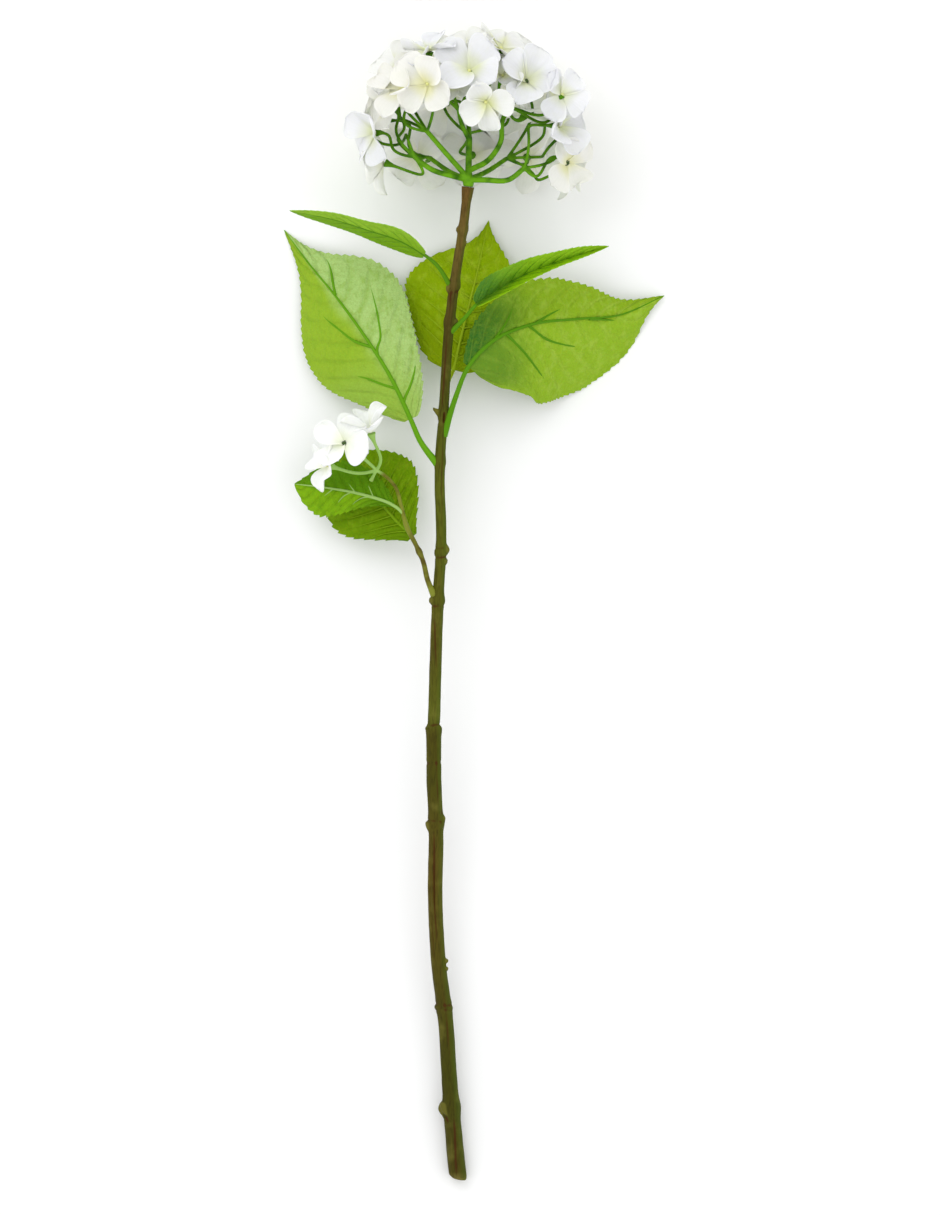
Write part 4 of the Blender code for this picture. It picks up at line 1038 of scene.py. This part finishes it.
floret_trees = {}
for floret_name in floret_names:
    places, corners = cad_points(floret_name)
    floret_trees[floret_name] = BVHTree.FromPolygons([Vector(p) for p in places], corners)
head_rods = []
forks = {}
for ray_name, (first_radius, last_radius, ray_points) in RAYS.items():
    line = soft_line([HUB + Vector(p) for p in ray_points], RAY_STEPS)
    head_rods.append(moulded_rod("ray", line, list(np.linspace(first_radius, last_radius, RAY_STEPS)), 12))
    forks[ray_name] = (line[-1], (line[-1] - line[-2]).normalized())
stem_way = (stem_centre(STEM_TOP_Y) - stem_centre(STEM_TOP_Y - 20)).normalized()
hub_foot = stem_centre(STEM_TOP_Y) + stem_way * HUB_GAP
hub_line = [hub_foot, hub_foot + stem_way * HUB_COLLAR, HUB + Vector((0, HUB_LENGTH, 0))]
head_rods.append(moulded_rod("hub", hub_line, HUB_RADII, 16))
for number, ray_name in enumerate(FLORET_RAYS, 1):
    seat, axis, _ = floret_seats["floret_%02d" % number]
    for name in sorted(forks, key=lambda name: (name != ray_name, (forks[name][0] - seat).length)):
        line = free_stalk(*forks[name], STALK_LEADS.get(number), seat, axis, floret_trees.values())
        if line:
            break
    head_rods.append(moulded_rod("stalk", line, stalk_radii(line), 10))
head_piece = fused("head_stalk_moulding", head_rods, MOULD_VOXEL)
paint_over(head_piece, green_finish("stalk_green", paint(104, 162, 22), paint(50, 98, 6)))
finish_piece(head_piece, "flower_head_stalks", 180)

# ------ side shoot
# A thin brown-green shoot with three curling pale stalks for its small florets, and one bud.
# It is moulded in one with the stalks and the bud, and plugs into a node of the main stem.
SHOOT_LINE = [
    (-24.6, 8.0, 40.4), (-29.3, 19, 43.5), (-32.3, 31.4, 44.5), (-36.8, 41.6, 45.5), (-42.6, 53, 46.5),
    (-46.4, 67, 48), (-50, 78.7, 49.5), (-57.3, 86.4, 51), (-62.4, 89.6, 52),
]
SHOOT_RADIUS = [(0, 2.6), (0.1, 1.8), (0.3, 1.6), (0.34, 2.3), (0.38, 1.5), (0.55, 1.7), (0.6, 1.3), (1, 1.1)]
SHOOT_LEADS = {"side_floret_1": (0.6, 0.8, 0.5), "side_floret_2": (-0.6, 0.6, 0.5),
               "side_floret_3": (-0.9, -0.3, 0.3)}
BUD_LINE = [SHOOT_FORK, (-64, 85.6, 53.9), (-65.5, 82.5, 55.5)]
BUD_RADII = [0.9, 1.0, 1.5]
SHOOT_SLACK = 0.45
SHOOT_VOXEL = 0.36
shoot_rods = [moulded_rod("shoot", soft_line(SHOOT_LINE, ROD_STEPS), tapered(SHOOT_RADIUS), 12),
              moulded_rod("bud", BUD_LINE, BUD_RADII, 10)]
for floret_name, lead in SHOOT_LEADS.items():
    seat, axis, _ = floret_seats[floret_name]
    line = stalk_line(SHOOT_FORK, lead, seat, axis, SHOOT_SLACK, 0.0)
    shoot_rods.append(moulded_rod("stalk", line, stalk_radii(line), 10))
shoot_piece = fused("side_shoot_moulding", shoot_rods, SHOOT_VOXEL)
paint_over(shoot_piece, green_finish("shoot_green", paint(124, 130, 44), paint(84, 74, 22),
                                     (paint(168, 204, 118), paint(134, 178, 74))))
finish_piece(shoot_piece, "side_shoot", 180)

# ------ studio
# A plain white table, a broad soft light over it and a camera that looks straight down.
CAMERA_DISTANCE = 5.0
VIEW_HEIGHT = 0.7776
VIEW_CENTRE = (-0.0022, 0.0016)
OBJECT_LEVEL = 0.05
TABLE_SIZE = 8
TABLE_LEVEL = -0.0002
SKY_STRENGTH = 0.97
# place, turn in degrees, size and power of each lamp
LAMPS = [((-0.7, 0.9, 1.5), (-32, -25, 0), 1.2, 7.5), ((0.9, -0.4, 1.6), (15, 30, 0), 1.6, 3)]
clear_selection()
bpy.ops.mesh.primitive_plane_add(size=TABLE_SIZE, location=(0, 0, TABLE_LEVEL))
table = bpy.context.object
table.name = "table"
white = Finish("white_table", {"Roughness": 0.9, "Specular IOR Level": 0.1})
table_cloud = white.noise(white.place(), 3.0)
white.coat("Base Color", white.blend(table_cloud, paint(250, 250, 250), paint(247, 248, 248)))
paint_over(table, white.material)

world = bpy.data.worlds.new("studio")
bpy.context.scene.world = world
world.use_nodes = True
sky = world.node_tree.nodes["Background"].inputs
sky["Color"].default_value = (1.0, 1.0, 1.0, 1.0)
sky["Strength"].default_value = SKY_STRENGTH
for lamp_place, lamp_turn, lamp_size, lamp_power in LAMPS:
    bpy.ops.object.light_add(type="AREA", location=lamp_place,
                             rotation=[math.radians(angle) for angle in lamp_turn])
    lamp = bpy.context.object.data
    lamp.size = lamp_size
    lamp.energy = lamp_power

bpy.ops.object.camera_add(location=(*VIEW_CENTRE, OBJECT_LEVEL + CAMERA_DISTANCE), rotation=(0, 0, 0))
camera = bpy.context.object
camera.data.sensor_fit = "VERTICAL"
camera.data.sensor_height = 24
camera.data.lens = camera.data.sensor_height * CAMERA_DISTANCE / VIEW_HEIGHT
camera.data.clip_end = 50
bpy.context.scene.camera = camera
bpy.context.scene.view_settings.view_transform = "Standard"
